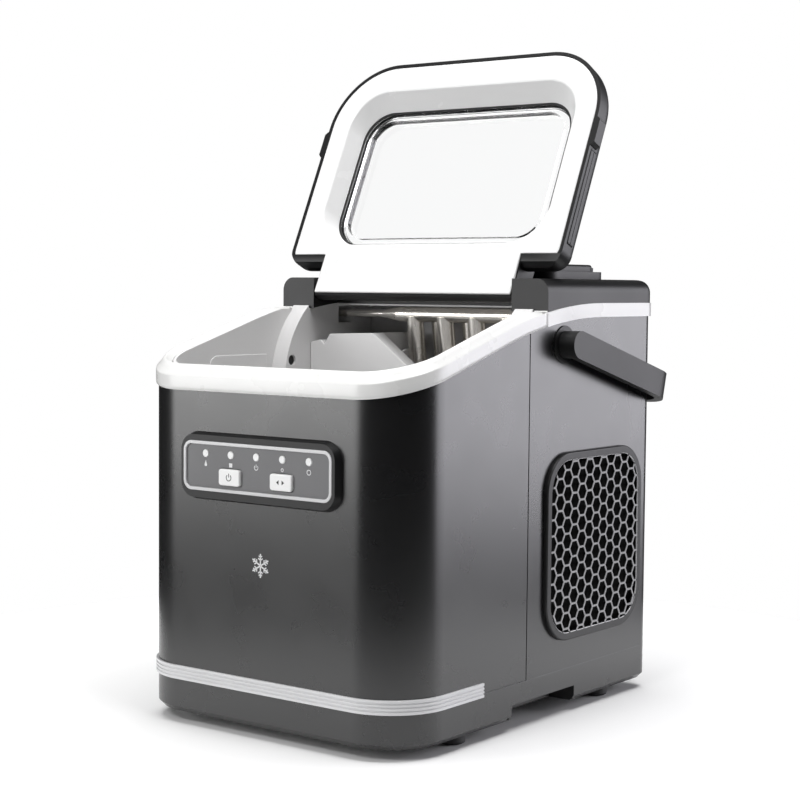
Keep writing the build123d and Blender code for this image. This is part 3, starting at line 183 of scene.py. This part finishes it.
def grille_material():
    """Black all through, but for the outer faces of the honeycomb bars, which are painted paler: a painted
    highlight, as faces that catch the light.
    """
    made = plastic("grille_black", (0.008, 0.008, 0.0085), 0.42, 2200.0, 0.25, shine=0.4)
    tree = made.node_tree
    shader = tree.nodes["Principled BSDF"]
    coords = tree.nodes.new("ShaderNodeTexCoord")
    parts = tree.nodes.new("ShaderNodeSeparateXYZ")
    tree.links.new(coords.outputs["Object"], parts.inputs["Vector"])
    corner_power = 5.0
    powers = []
    for axis, middle, half in (("Y", GRILLE_MIDDLE_Y, 56.0 * MM), ("Z", GRILLE_MIDDLE_Z, 57.7 * MM)):
        shift = math_node(tree, "SUBTRACT", parts.outputs[axis], middle)
        size = math_node(tree, "ABSOLUTE", math_node(tree, "DIVIDE", shift, half))
        powers.append(math_node(tree, "POWER", size, corner_power))
    # painted highlight: mask of the bars' outer faces, inside the grille's rounded outline
    inside = math_node(tree, "LESS_THAN", math_node(tree, "ADD", *powers), 1.0)
    depth = math_node(tree, "ABSOLUTE", parts.outputs["X"])
    outer = math_node(tree, "GREATER_THAN", depth, SIDE_X + 2.6 * MM)
    bars = math_node(tree, "MULTIPLY", inside, outer)
    blend = tree.nodes.new("ShaderNodeMix")
    blend.data_type = "RGBA"
    # painted highlight colour for those outer faces
    blend.inputs["B"].default_value = (0.3, 0.3, 0.305, 1)
    tree.links.new(shader.inputs["Base Color"].links[0].from_socket, blend.inputs["A"])
    tree.links.new(bars, blend.inputs["Factor"])
    tree.links.new(blend.outputs["Result"], shader.inputs["Base Color"])
    return made


def board_material():
    made, tree, shader = new_material("board")
    tracks = tree.nodes.new("ShaderNodeTexBrick")
    tracks.inputs["Scale"].default_value = 160.0
    tracks.inputs["Color1"].default_value = (0.01, 0.12, 0.04, 1)
    tracks.inputs["Color2"].default_value = (0.015, 0.16, 0.06, 1)
    tracks.inputs["Mortar"].default_value = (0.1, 0.3, 0.12, 1)
    tree.links.new(tracks.outputs["Color"], shader.inputs["Base Color"])
    shader.inputs["Roughness"].default_value = 0.4
    return made


MATERIALS = {
    "case_black": plastic("case_black", (0.006, 0.006, 0.0065), 0.28, 2600.0, 0.16, shine=0.8),
    "trim_black": plastic("trim_black", (0.008, 0.008, 0.0085), 0.42, 2200.0, 0.25, shine=0.4),
    "deep_black": plastic("deep_black", (0.002, 0.002, 0.002), 0.9, 900.0, 0.3, shine=0.1),
    "grille_black": grille_material(),
    "rim_white": plastic("rim_white", (0.8, 0.8, 0.79), 0.28, 900.0, 0.03, 0.2, 0.02),
    "liner_white": plastic("liner_white", (0.83, 0.83, 0.83), 0.26, 900.0, 0.03, 0.2, 0.02),
    "bin_grey": plastic("bin_grey", (0.68, 0.675, 0.675), 0.38, 1200.0, 0.06, 0.0, 0.04),
    "silver_trim": plastic("silver_trim", (0.58, 0.58, 0.59), 0.3, 3000.0, 0.1, 0.3, 0.05),
    "panel_grey": plastic("panel_grey", (0.12, 0.12, 0.125), 0.34, 3000.0, 0.12),
    "button_white": plastic("button_white", (0.82, 0.82, 0.82), 0.3, 900.0, 0.02, 0.2, 0.02),
    "ink": plastic("ink", (0.75, 0.75, 0.76), 0.5, 900.0, 0.02, 0.0, 0.03),
    "rubber": plastic("rubber", (0.014, 0.014, 0.015), 0.62, 1400.0, 0.3),
    "clear": clear_plastic(),
    "plated": metal("plated", (0.9, 0.87, 0.82), 0.2, (0.2, 1, 1), 0.08),
    "steel": metal("steel", (0.55, 0.55, 0.56), 0.3, (1, 1, 0.1)),
    "painted_steel": plastic("painted_steel", (0.012, 0.012, 0.012), 0.3, 600.0, 0.1, 0.3),
    "copper": metal("copper", (0.75, 0.36, 0.22), 0.25),
    "alloy": metal("alloy", (0.75, 0.76, 0.78), 0.3, (1, 1, 0.2)),
    "board": board_material(),
    "foam": foam_material(),
    "soft_tube": plastic("soft_tube", (0.7, 0.7, 0.7), 0.4, 900.0, 0.05, 0.0, 0.04),
}
SLOT_OF = {part["node"]: part["material_slot"] for part in frame["record"]["subparts"]}
BODY_OF = {
    node: body
    for body, members in frame["record"]["behaviour"]["bodies"].items()
    for node in members
}


# ---- mesh helpers ----
SHARP_ANGLE = 32.0
SAME_POINT = 0.000004


def add_object(name, bm, body, slot, smooth=True):
    """Turns a built mesh into an object riding on a body, with a material slot's finish."""
    mesh = bpy.data.meshes.new(name)
    bm.normal_update()
    bm.to_mesh(mesh)
    bm.free()
    obj = bpy.data.objects.new(name, mesh)
    bpy.context.scene.collection.objects.link(obj)
    mesh.materials.append(MATERIALS[slot])
    mesh.polygons.foreach_set("use_smooth", [smooth] * len(mesh.polygons))
    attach(obj, body)
    return obj


def round_edges(obj, width, segments=3):
    """Rounds an object's sharp edges, keeping its flats flat."""
    bevel = obj.modifiers.new("round", "BEVEL")
    bevel.width = width * MM
    bevel.segments = segments
    bevel.limit_method = "ANGLE"
    bevel.angle_limit = math.radians(SHARP_ANGLE)
    bevel.use_clamp_overlap = True
    bevel.harden_normals = True
    weighted = obj.modifiers.new("shade", "WEIGHTED_NORMAL")
    weighted.keep_sharp = True
    return obj


def plain_shading(obj):
    """Drops the shading that came with a CAD mesh, so that the rounded edges set it."""
    for layer in ("custom_normal", "sharp_edge", "sharp_face"):
        if layer in obj.data.attributes:
            obj.data.attributes.remove(obj.data.attributes[layer])


def soften(node, width):
    """Stands in for a CAD node with its own shape and moulded, rounded edges."""
    bm = bmesh.new()
    bm.from_mesh(frame["nodes"][node].data)
    bmesh.ops.remove_doubles(bm, verts=bm.verts, dist=SAME_POINT)
    flat = math.radians(0.4)
    bmesh.ops.dissolve_limit(bm, angle_limit=flat, verts=bm.verts, edges=bm.edges, delimit=set())
    obj = add_object("soft_" + node, bm, BODY_OF[node], SLOT_OF[node])
    plain_shading(obj)
    round_edges(obj, width)
    if node in FINISH:
        obj.data.materials[0] = MATERIALS[FINISH[node]]
    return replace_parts(obj, node)


def grid_faces(bm, rows, close_columns=False):
    """Faces between rows of points, each row as long as the others."""
    made = [[bm.verts.new(p) for p in row] for row in rows]
    width = len(made[0])
    for near, far in zip(made, made[1:]):
        for column in range(width if close_columns else width - 1):
            after = (column + 1) % width
            bm.faces.new((near[column], far[column], far[after], near[after]))
    return made


def rounded_loop(half_w, half_h, radius, steps=10):
    """Points round a rounded rectangle, anticlockwise, about its middle."""
    points = []
    for sx, sy, start in ((1, 1, 0), (-1, 1, 90), (-1, -1, 180), (1, -1, 270)):
        for step in range(steps + 1):
            turn = math.radians(start + 90 * step / steps)
            x = sx * (half_w - radius) + radius * math.cos(turn)
            y = sy * (half_h - radius) + radius * math.sin(turn)
            points.append((x, y))
    return points


# ---- rim ----
RIM_SLOPE = 0.297
RIM_FRONT_Z = 217.3
RIM_LEVEL_Z = 264.8
RIM_BEND_Y = (RIM_LEVEL_Z - RIM_FRONT_Z) / RIM_SLOPE
RIM_BEND_R = 400.0
RIM_REACH = RIM_BEND_R * math.tan(math.atan(RIM_SLOPE) / 2)
RIM_END_Y = 149.5
RIM_PROUD = 1.8
RIM_INSET = 9.0
CREASE_LIFT = 8.6
CREASE_R = 1.3
RIDGE_IN = 4.3
RIDGE_LIFT = 12.7
RIDGE_R = 2.2
RIDGE_MAX_Z = 269.2


def rim_height(y):
    """Height of the rim's lower edge, in millimetres, at a depth behind the front face."""
    turn = math.atan(RIM_SLOPE)
    start = RIM_BEND_Y - RIM_REACH * math.cos(turn)
    end = RIM_BEND_Y + RIM_REACH
    if y <= start:
        return RIM_FRONT_Z + RIM_SLOPE * y
    if y >= end:
        return RIM_LEVEL_Z
    return RIM_LEVEL_Z - RIM_BEND_R + math.sqrt(RIM_BEND_R ** 2 - (end - y) ** 2)


def case_path(inset, rear_y):
    """Points of the case outline from the right side, round the front, to the left side."""
    points = []
    radius = CASE_CORNER_R - inset
    side_x = CASE_HALF_W - inset
    side_steps = 40
    for step in range(side_steps):
        points.append((side_x, rear_y + (CASE_CORNER_R - rear_y) * step / side_steps))
    corner_steps = 24
    for step in range(corner_steps + 1):
        turn = math.radians(-90 * step / corner_steps)
        x = side_x - radius + radius * math.cos(turn)
        points.append((x, CASE_CORNER_R + radius * math.sin(turn)))
    left = [(-x, y) for x, y in reversed(points)]
    return points + left


def soft_minimum(first, second, blend=3.0):
    """The lower of two heights, with the change-over smoothed out."""
    return (first + second - math.sqrt((first - second) ** 2 + blend ** 2)) / 2


def rim_profile():
    """Section of the rim as (how far in, how far above its lower edge)."""
    points = [(-1.3, 0.0), (-1.65, 0.35), (-RIM_PROUD, 2.0), (-RIM_PROUD, CREASE_LIFT)]
    for step in range(1, 5):
        turn = math.radians(45 * step / 4)
        inset = -RIM_PROUD + CREASE_R * (1 - math.cos(turn))
        points.append((inset, CREASE_LIFT + CREASE_R * math.sin(turn)))
    points += [(0.0, 10.9), (1.5, 12.6)]
    for step in range(1, 9):
        turn = math.radians(135 - 90 * step / 8)
        points.append((RIDGE_IN + RIDGE_R * math.cos(turn), RIDGE_LIFT + RIDGE_R * math.sin(turn)))
    points += [(7.4, 12.9), (8.4, 12.1), (8.9, 11.6), (RIM_INSET, 11.0), (RIM_INSET, 2.0)]
    return points


def rim_point_height(y, inset, lift):
    """Height of a point of the section; the ridge levels out before it meets the shoulders."""
    plain = rim_height(y) + lift
    on_outer_face = lift < 9.8 and inset < 8
    if on_outer_face:
        return plain
    ceiling = RIDGE_MAX_Z - 0.45 * abs(inset - RIDGE_IN)
    return soft_minimum(plain, ceiling)


def rim_rear_band():
    """Plain band of the rim behind the ridge, cut from the CAD's own rim."""
    bm = bmesh.new()
    bm.from_mesh(frame["nodes"]["rim_bezel"].data)
    bmesh.ops.remove_doubles(bm, verts=bm.verts, dist=SAME_POINT)
    cut = (0, FRONT_Y + RIM_END_Y * MM, 0)
    everything = list(bm.verts) + list(bm.edges) + list(bm.faces)
    bmesh.ops.bisect_plane(bm, geom=everything, plane_co=cut, plane_no=(0, -1, 0), clear_outer=True)
    bmesh.ops.dissolve_limit(bm, angle_limit=0.006, verts=bm.verts, edges=bm.edges, delimit=set())
    rear = add_object("rim_rear", bm, "case", "rim_white")
    plain_shading(rear)
    round_edges(rear, 0.4, 2)


def white_rim():
    """Sloping rim: a ridged section carried round the case's outline, and a plain band behind."""
    bm = bmesh.new()
    rows = []
    for inset, lift in rim_profile():
        row = []
        for x, y in case_path(inset, RIM_END_Y):
            row.append(Vector((x * MM, FRONT_Y + y * MM, rim_point_height(y, inset, lift) * MM)))
        rows.append(row)
    made = grid_faces(bm, rows)
    for end in (0, -1):
        cap = [row[end] for row in made]
        bm.faces.new(cap if end else list(reversed(cap)))
    bmesh.ops.recalc_face_normals(bm, faces=bm.faces)
    obj = add_object("rim_front", bm, "case", "rim_white")
    rim_rear_band()
    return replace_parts(obj, "rim_bezel")


# ---- everything that keeps its CAD outline, with its edge rounding in millimetres ----
EDGES = {
    "front_shell": 0.5, "rear_shell": 0.5, "base_tray": 0.8, "rear_deck": 0.9, "vent_cap": 0.5,
    "trim_strip": 0.18, "right_grille": 0.25, "left_grille": 0.25, "cord_inlet_bush": 0.4,
    "panel_bezel": 0.7, "panel_frame": 0.25, "panel_overlay": 0.15, "led_lenses": 0.15,
    "power_button": 0.3, "select_button": 0.3, "lid_shell": 0.9, "lid_liner": 1.0,
    "lid_window": 0.5, "window_gasket": 0.3, "carry_handle": 1.6, "handle_bushes": 0.3,
    "inner_tank": 0.8, "gear_cover": 1.4, "water_tray": 0.5, "ice_basket": 0.6,
    "tray_motor": 0.6, "water_pump": 0.8, "drain_plug": 0.5, "rubber_feet": 0.5,
    "fan_shroud": 0.6, "fan_rotor": 0.3, "compressor": 0.8, "foam_insulation": 1.0,
    "control_board": 0.2, "hot_gas_valve": 0.6, "fan_motor": 0.5, "foot_screws": 0.15,
    "rear_screws": 0.15, "cap_screws": 0.15, "evaporator_tube": 0.3, "evaporator_fingers": 0.2,
}


# nodes whose look differs a little from the rest of their slot: the grilles, whose bars carry a painted
# highlight
FINISH = {"right_grille": "grille_black", "left_grille": "grille_black"}


def softened_nodes():
    for node, width in EDGES.items():
        soften(node, width)


# ---- printed and moulded details ----
def lid_point(x, u, depth):
    """Point in the lid's own drawing: across, along from the hinge, and towards the bin."""
    y = LID_AXIS.y + u * MM * math.sin(LID_LEAN) - depth * MM * math.cos(LID_LEAN)
    z = LID_AXIS.z + u * MM * math.cos(LID_LEAN) + depth * MM * math.sin(LID_LEAN)
    return Vector((x * MM, y, z))


def lid_side_strips():
    """Smooth raised strip along each side of the lid, between the lug and the hinge."""
    section = ((-2.9, 0.0), (-2.4, 0.55), (0.4, 0.6), (0.7, 0.35), (1.0, 0.6), (3.8, 0.55), (4.2, 0.0))
    for side in (-1, 1):
        bm = bmesh.new()
        rows = []
        for u, lower in ((27.0, 1.0), (28.0, 0.1), (29.0, 0.0), (95.0, 0.0), (96.0, 0.1), (97.0, 1.0)):
            row = []
            for depth, rise in section:
                out = LID_SIDE_X + rise * (1 - lower)
                row.append(lid_point(side * out, u, depth))
            rows.append(row)
        made = grid_faces(bm, rows)
        for end in (0, -1):
            bm.faces.new(made[end])
        bm.faces.new([row[0] for row in made] + [row[-1] for row in reversed(made)])
        bmesh.ops.remove_doubles(bm, verts=bm.verts, dist=0.00001)
        bmesh.ops.recalc_face_normals(bm, faces=bm.faces)
        round_edges(add_object(f"lid_side_strip_{side}", bm, "lid", "trim_black"), 0.12, 2)


def bin_pads():
    """Shallow moulded pad on each side wall of the bin, its front upper corner rounded."""
    outline = [(118.0, 150.0), (118.0, 236.0)]
    outline += arc(68.0, 228.0, 8.0, 90, 180, 8)
    outline.append((60.0, 150.0))
    for side in (-1, 1):
        bm = bmesh.new()
        rows = []
        for x in (100.9, 99.95):
            row = [Vector((side * x * MM, FRONT_Y + y * MM, z * MM)) for y, z in outline]
            rows.append(row)
        made = grid_faces(bm, rows, close_columns=True)
        for ring in made:
            bm.faces.new(ring)
        bmesh.ops.recalc_face_normals(bm, faces=bm.faces)
        round_edges(add_object(f"bin_pad_{side}", bm, "case", "bin_grey"), 0.4, 3)


def flat_shape(name, outline, y, body, slot, thickness=0.12):
    """Thin printed shape standing on a face that looks forward, from an outline in X and Z."""
    bm = bmesh.new()
    front = [bm.verts.new((x * MM, FRONT_Y + (y - thickness) * MM, z * MM)) for x, z in outline]
    back = [bm.verts.new((x * MM, FRONT_Y + y * MM, z * MM)) for x, z in outline]
    bm.faces.new(front)
    count = len(front)
    for step in range(count):
        bm.faces.new((front[step], back[step], back[(step + 1) % count], front[(step + 1) % count]))
    bmesh.ops.recalc_face_normals(bm, faces=bm.faces)
    return add_object(name, bm, body, slot, smooth=False)


def stroke(points, width):
    """Outline of a line of constant width through points."""
    left = []
    right = []
    for number, point in enumerate(points):
        before = Vector(points[max(number - 1, 0)])
        after = Vector(points[min(number + 1, len(points) - 1)])
        along = (after - before).normalized()
        side = Vector((-along.y, along.x)) * width / 2
        left.append(tuple(Vector(point) + side))
        right.append(tuple(Vector(point) - side))
    return left + list(reversed(right))


def arc(x, z, radius, start, end, steps=16):
    return [
        (
            x + radius * math.cos(math.radians(start + (end - start) * step / steps)),
            z + radius * math.sin(math.radians(start + (end - start) * step / steps)),
        )
        for step in range(steps + 1)
    ]


def snowflake(name, x, z, radius, width, y):
    """Six-armed snowflake, as a plain printed mark."""
    for arm in range(6):
        turn = math.radians(60 * arm + 30)
        tip = (x + radius * math.cos(turn), z + radius * math.sin(turn))
        flat_shape(f"{name}_arm_{arm}", stroke([(x, z), tip], width), y, "case", "ink")
        for part in (0.45, 0.7):
            root = (x + radius * part * math.cos(turn), z + radius * part * math.sin(turn))
            for side in (-1, 1):
                lean = turn + side * math.radians(55)
                length = radius * (0.3 if part == 0.45 else 0.22)
                end = (root[0] + length * math.cos(lean), root[1] + length * math.sin(lean))
                twig = stroke([root, end], width * 0.8)
                flat_shape(f"{name}_twig_{arm}_{part}_{side}", twig, y, "case", "ink")


PANEL_FACE = -4.2
LED_PITCH = 21.3
LED_X = [LED_PITCH * step for step in (-2, -1, 0, 1, 2)]
BUTTON_FACE = -6.2
BUTTON_X = LED_PITCH
BUTTON_Z = 164.0


def panel_icons():
    """Plain picture signs under the lamps."""
    z = 171.6
    drop = arc(LED_X[0], z - 0.6, 1.25, 200, 340, 10) + [(LED_X[0], z + 2.2)]
    flat_shape("icon_water", drop, PANEL_FACE, "case", "ink")
    cube = [(-1.3, -1.3), (1.3, -1.3), (1.3, 1.3), (-1.3, 1.3)]
    flat_shape("icon_full", [(LED_X[1] + a, z + b) for a, b in cube], PANEL_FACE, "case", "ink")
    ring = stroke(arc(LED_X[2], z, 1.5, 130, 410), 0.45)
    flat_shape("icon_power_ring", ring, PANEL_FACE, "case", "ink")
    bar = stroke([(LED_X[2], z), (LED_X[2], z + 2.0)], 0.45)
    flat_shape("icon_power_bar", bar, PANEL_FACE, "case", "ink")
    for number, radius in ((3, 0.9), (4, 1.5)):
        ring = stroke(arc(LED_X[number], z, radius, 0, 360, 20), 0.45)
        flat_shape(f"icon_size_{number}", ring, PANEL_FACE, "case", "ink")


def button_icons():
    """Signs moulded dark on the two buttons."""
    depth = 0.02
    ring = stroke(arc(-BUTTON_X, BUTTON_Z, 2.0, 130, 410), 0.55)
    flat_shape("sign_power_ring", ring, BUTTON_FACE, "power_button", "trim_black", depth)
    bar = stroke([(-BUTTON_X, BUTTON_Z + 0.2), (-BUTTON_X, BUTTON_Z + 2.6)], 0.55)
    flat_shape("sign_power_bar", bar, BUTTON_FACE, "power_button", "trim_black", depth)
    for side in (-1, 1):
        tip = (BUTTON_X + side * 3.2, BUTTON_Z)
        root_x = BUTTON_X + side * 1.2
        arrow = [tip, (root_x, BUTTON_Z + 1.5), (root_x, BUTTON_Z - 1.5)]
        flat_shape(f"sign_select_{side}", arrow, BUTTON_FACE, "select_button", "trim_black", depth)


def grille_lines():
    """Silver line inside each grille's edge, and a near-black sheet behind the honeycomb: painted shade
    for the dark inside of the case.
    """
    half_y = 61.05 - 5.0
    half_z = 62.75 - 5.0
    for side in (-1, 1):
        bm = bmesh.new()
        rows = []
        for grow, out in ((0.0, 2.6), (0.0, 3.0), (-0.5, 3.25), (-1.0, 3.0), (-1.0, 2.4)):
            loop = rounded_loop(half_y + 0.6 + grow, half_z + 0.6 + grow, 22.6 + grow, 14)
            x = side * (SIDE_X + (out - 0.3) * MM)
            rows.append([Vector((x, GRILLE_MIDDLE_Y + a * MM, GRILLE_MIDDLE_Z + b * MM)) for a, b in loop])
        grid_faces(bm, rows, close_columns=True)
        bmesh.ops.recalc_face_normals(bm, faces=bm.faces)
        add_object(f"grille_line_{side}", bm, "case", "silver_trim")
        # painted shade: near-black sheet just inside the grille, in place of the dark inside of the case
        bm = bmesh.new()
        loop = rounded_loop(half_y + 0.2, half_z + 0.2, 22.2, 10)
        x = side * (SIDE_X - 1.2 * MM)
        corners = [bm.verts.new((x, GRILLE_MIDDLE_Y + a * MM, GRILLE_MIDDLE_Z + b * MM)) for a, b in loop]
        bm.faces.new(corners)
        sheet = add_object(f"painted_shade_sheet_{side}", bm, "case", "deep_black", smooth=False)
        thick = sheet.modifiers.new("thickness", "SOLIDIFY")
        thick.thickness = 0.6 * MM
        thick.offset = 0.0


# ---- studio ----
FLOOR_RADIUS = 0.45


def studio():
    """Round patch of pale floor that runs out into the white surroundings."""
    made, tree, shader = new_material("studio_white")
    tone = two_tone(tree, noise(tree, 3.0), (0.92, 0.92, 0.92), (0.94, 0.94, 0.94))
    tree.links.new(tone, shader.inputs["Base Color"])
    shader.inputs["Roughness"].default_value = 0.8
    shader.inputs["Specular IOR Level"].default_value = 0.2
    bm = bmesh.new()
    rows = []
    for radius in (0.05, 0.2, FLOOR_RADIUS):
        turns = [math.radians(5 * step) for step in range(72)]
        rows.append([Vector((radius * math.cos(t), radius * math.sin(t), -0.0002)) for t in turns])
    made_rows = grid_faces(bm, rows, close_columns=True)
    bm.faces.new(made_rows[0])
    bmesh.ops.recalc_face_normals(bm, faces=bm.faces)
    for face in bm.faces:
        if face.normal.z < 0:
            face.normal_flip()
    mesh = bpy.data.meshes.new("studio_floor")
    bm.to_mesh(mesh)
    bm.free()
    mesh.materials.append(made)
    floor = bpy.data.objects.new("studio_floor", mesh)
    bpy.context.scene.collection.objects.link(floor)


def soft_light(name, place, target, width, height, power, tone=(1, 1, 1)):
    """Rectangular light panel aimed at a point."""
    lamp = bpy.data.lights.new(name, "AREA")
    lamp.shape = "RECTANGLE"
    lamp.size = width
    lamp.size_y = height
    lamp.energy = power
    lamp.color = tone
    obj = bpy.data.objects.new(name, lamp)
    obj.location = place
    aim = Vector(target) - Vector(place)
    obj.rotation_euler = aim.to_track_quat("-Z", "Y").to_euler()
    bpy.context.scene.collection.objects.link(obj)
    obj.visible_camera = False


def surroundings():
    """White to the eye and through the window, but dark in reflections, so the case stays black."""
    world = bpy.data.worlds.new("studio")
    world.use_nodes = True
    tree = world.node_tree
    rays = tree.nodes.new("ShaderNodeLightPath")
    either = math_node(tree, "MAXIMUM", rays.outputs["Is Camera Ray"], rays.outputs["Is Transmission Ray"])
    strength = tree.nodes.new("ShaderNodeMapRange")
    strength.inputs["To Min"].default_value = 0.03
    strength.inputs["To Max"].default_value = 1.0
    tree.links.new(either, strength.inputs["Value"])
    background = tree.nodes["Background"]
    background.inputs["Color"].default_value = (1, 1, 1, 1)
    tree.links.new(strength.outputs["Result"], background.inputs["Strength"])
    bpy.context.scene.world = world
    bpy.context.scene.view_settings.view_transform = "Standard"


def lights():
    """Large soft panels; nothing bright stands behind the viewer, so the near corner stays black."""
    soft_light("right_panel", (1.6, 1.75, 0.55), (0.1, 0.05, 0.15), 1.7, 1.5, 36, (0.95, 0.94, 1.0))
    soft_light("front_left_panel", (-1.4, -1.8, 0.5), (0, -0.1, 0.2), 1.3, 1.1, 24)
    soft_light("top_panel", (-0.1, 0.1, 2.0), (0, 0, 0.1), 1.8, 1.8, 42)
    soft_light("key_lamp", (0.1, -1.5, 1.4), (0.0, 0.0, 0.25), 0.6, 0.5, 12.0)
    soft_light("bin_lamp", (0.6, -0.2, 1.4), (-0.05, 0.0, 0.22), 0.35, 0.35, 5.0)


def camera():
    """Camera a little above the machine's middle, turned to its front right corner."""
    sin_y, cos_y = math.sin(CAMERA_YAW), math.cos(CAMERA_YAW)
    sin_p, cos_p = math.sin(CAMERA_PITCH), math.cos(CAMERA_PITCH)
    ahead = Vector((-sin_y * cos_p, cos_y * cos_p, -sin_p))
    right = Vector((cos_y, sin_y, 0))
    up = right.cross(ahead)
    sin_r, cos_r = math.sin(CAMERA_ROLL), math.cos(CAMERA_ROLL)
    level_right = right * cos_r + up * sin_r
    level_up = up * cos_r - right * sin_r
    turn = Matrix((level_right, level_up, -ahead)).transposed().to_4x4()
    lens = bpy.data.cameras.new("camera")
    lens.sensor_width = 36.0
    lens.lens = CAMERA_LENS
    lens.clip_start = 0.05
    lens.clip_end = 50.0
    obj = bpy.data.objects.new("camera", lens)
    obj.matrix_world = Matrix.Translation(CAMERA_PLACE) @ turn
    bpy.context.scene.collection.objects.link(obj)
    bpy.context.scene.camera = obj


def plain_nodes():
    """Hidden or small nodes that show just as they are, with their finishes."""
    for node, obj in frame["nodes"].items():
        if not obj.hide_render:
            obj.data.materials.clear()
            obj.data.materials.append(MATERIALS[SLOT_OF[node]])


white_rim()
softened_nodes()
lid_side_strips()
bin_pads()
snowflake("front_mark", 0.0, 110.0, 7.5, 0.9, 0.0)
panel_icons()
button_icons()
grille_lines()
plain_nodes()
studio()
surroundings()
lights()
camera()
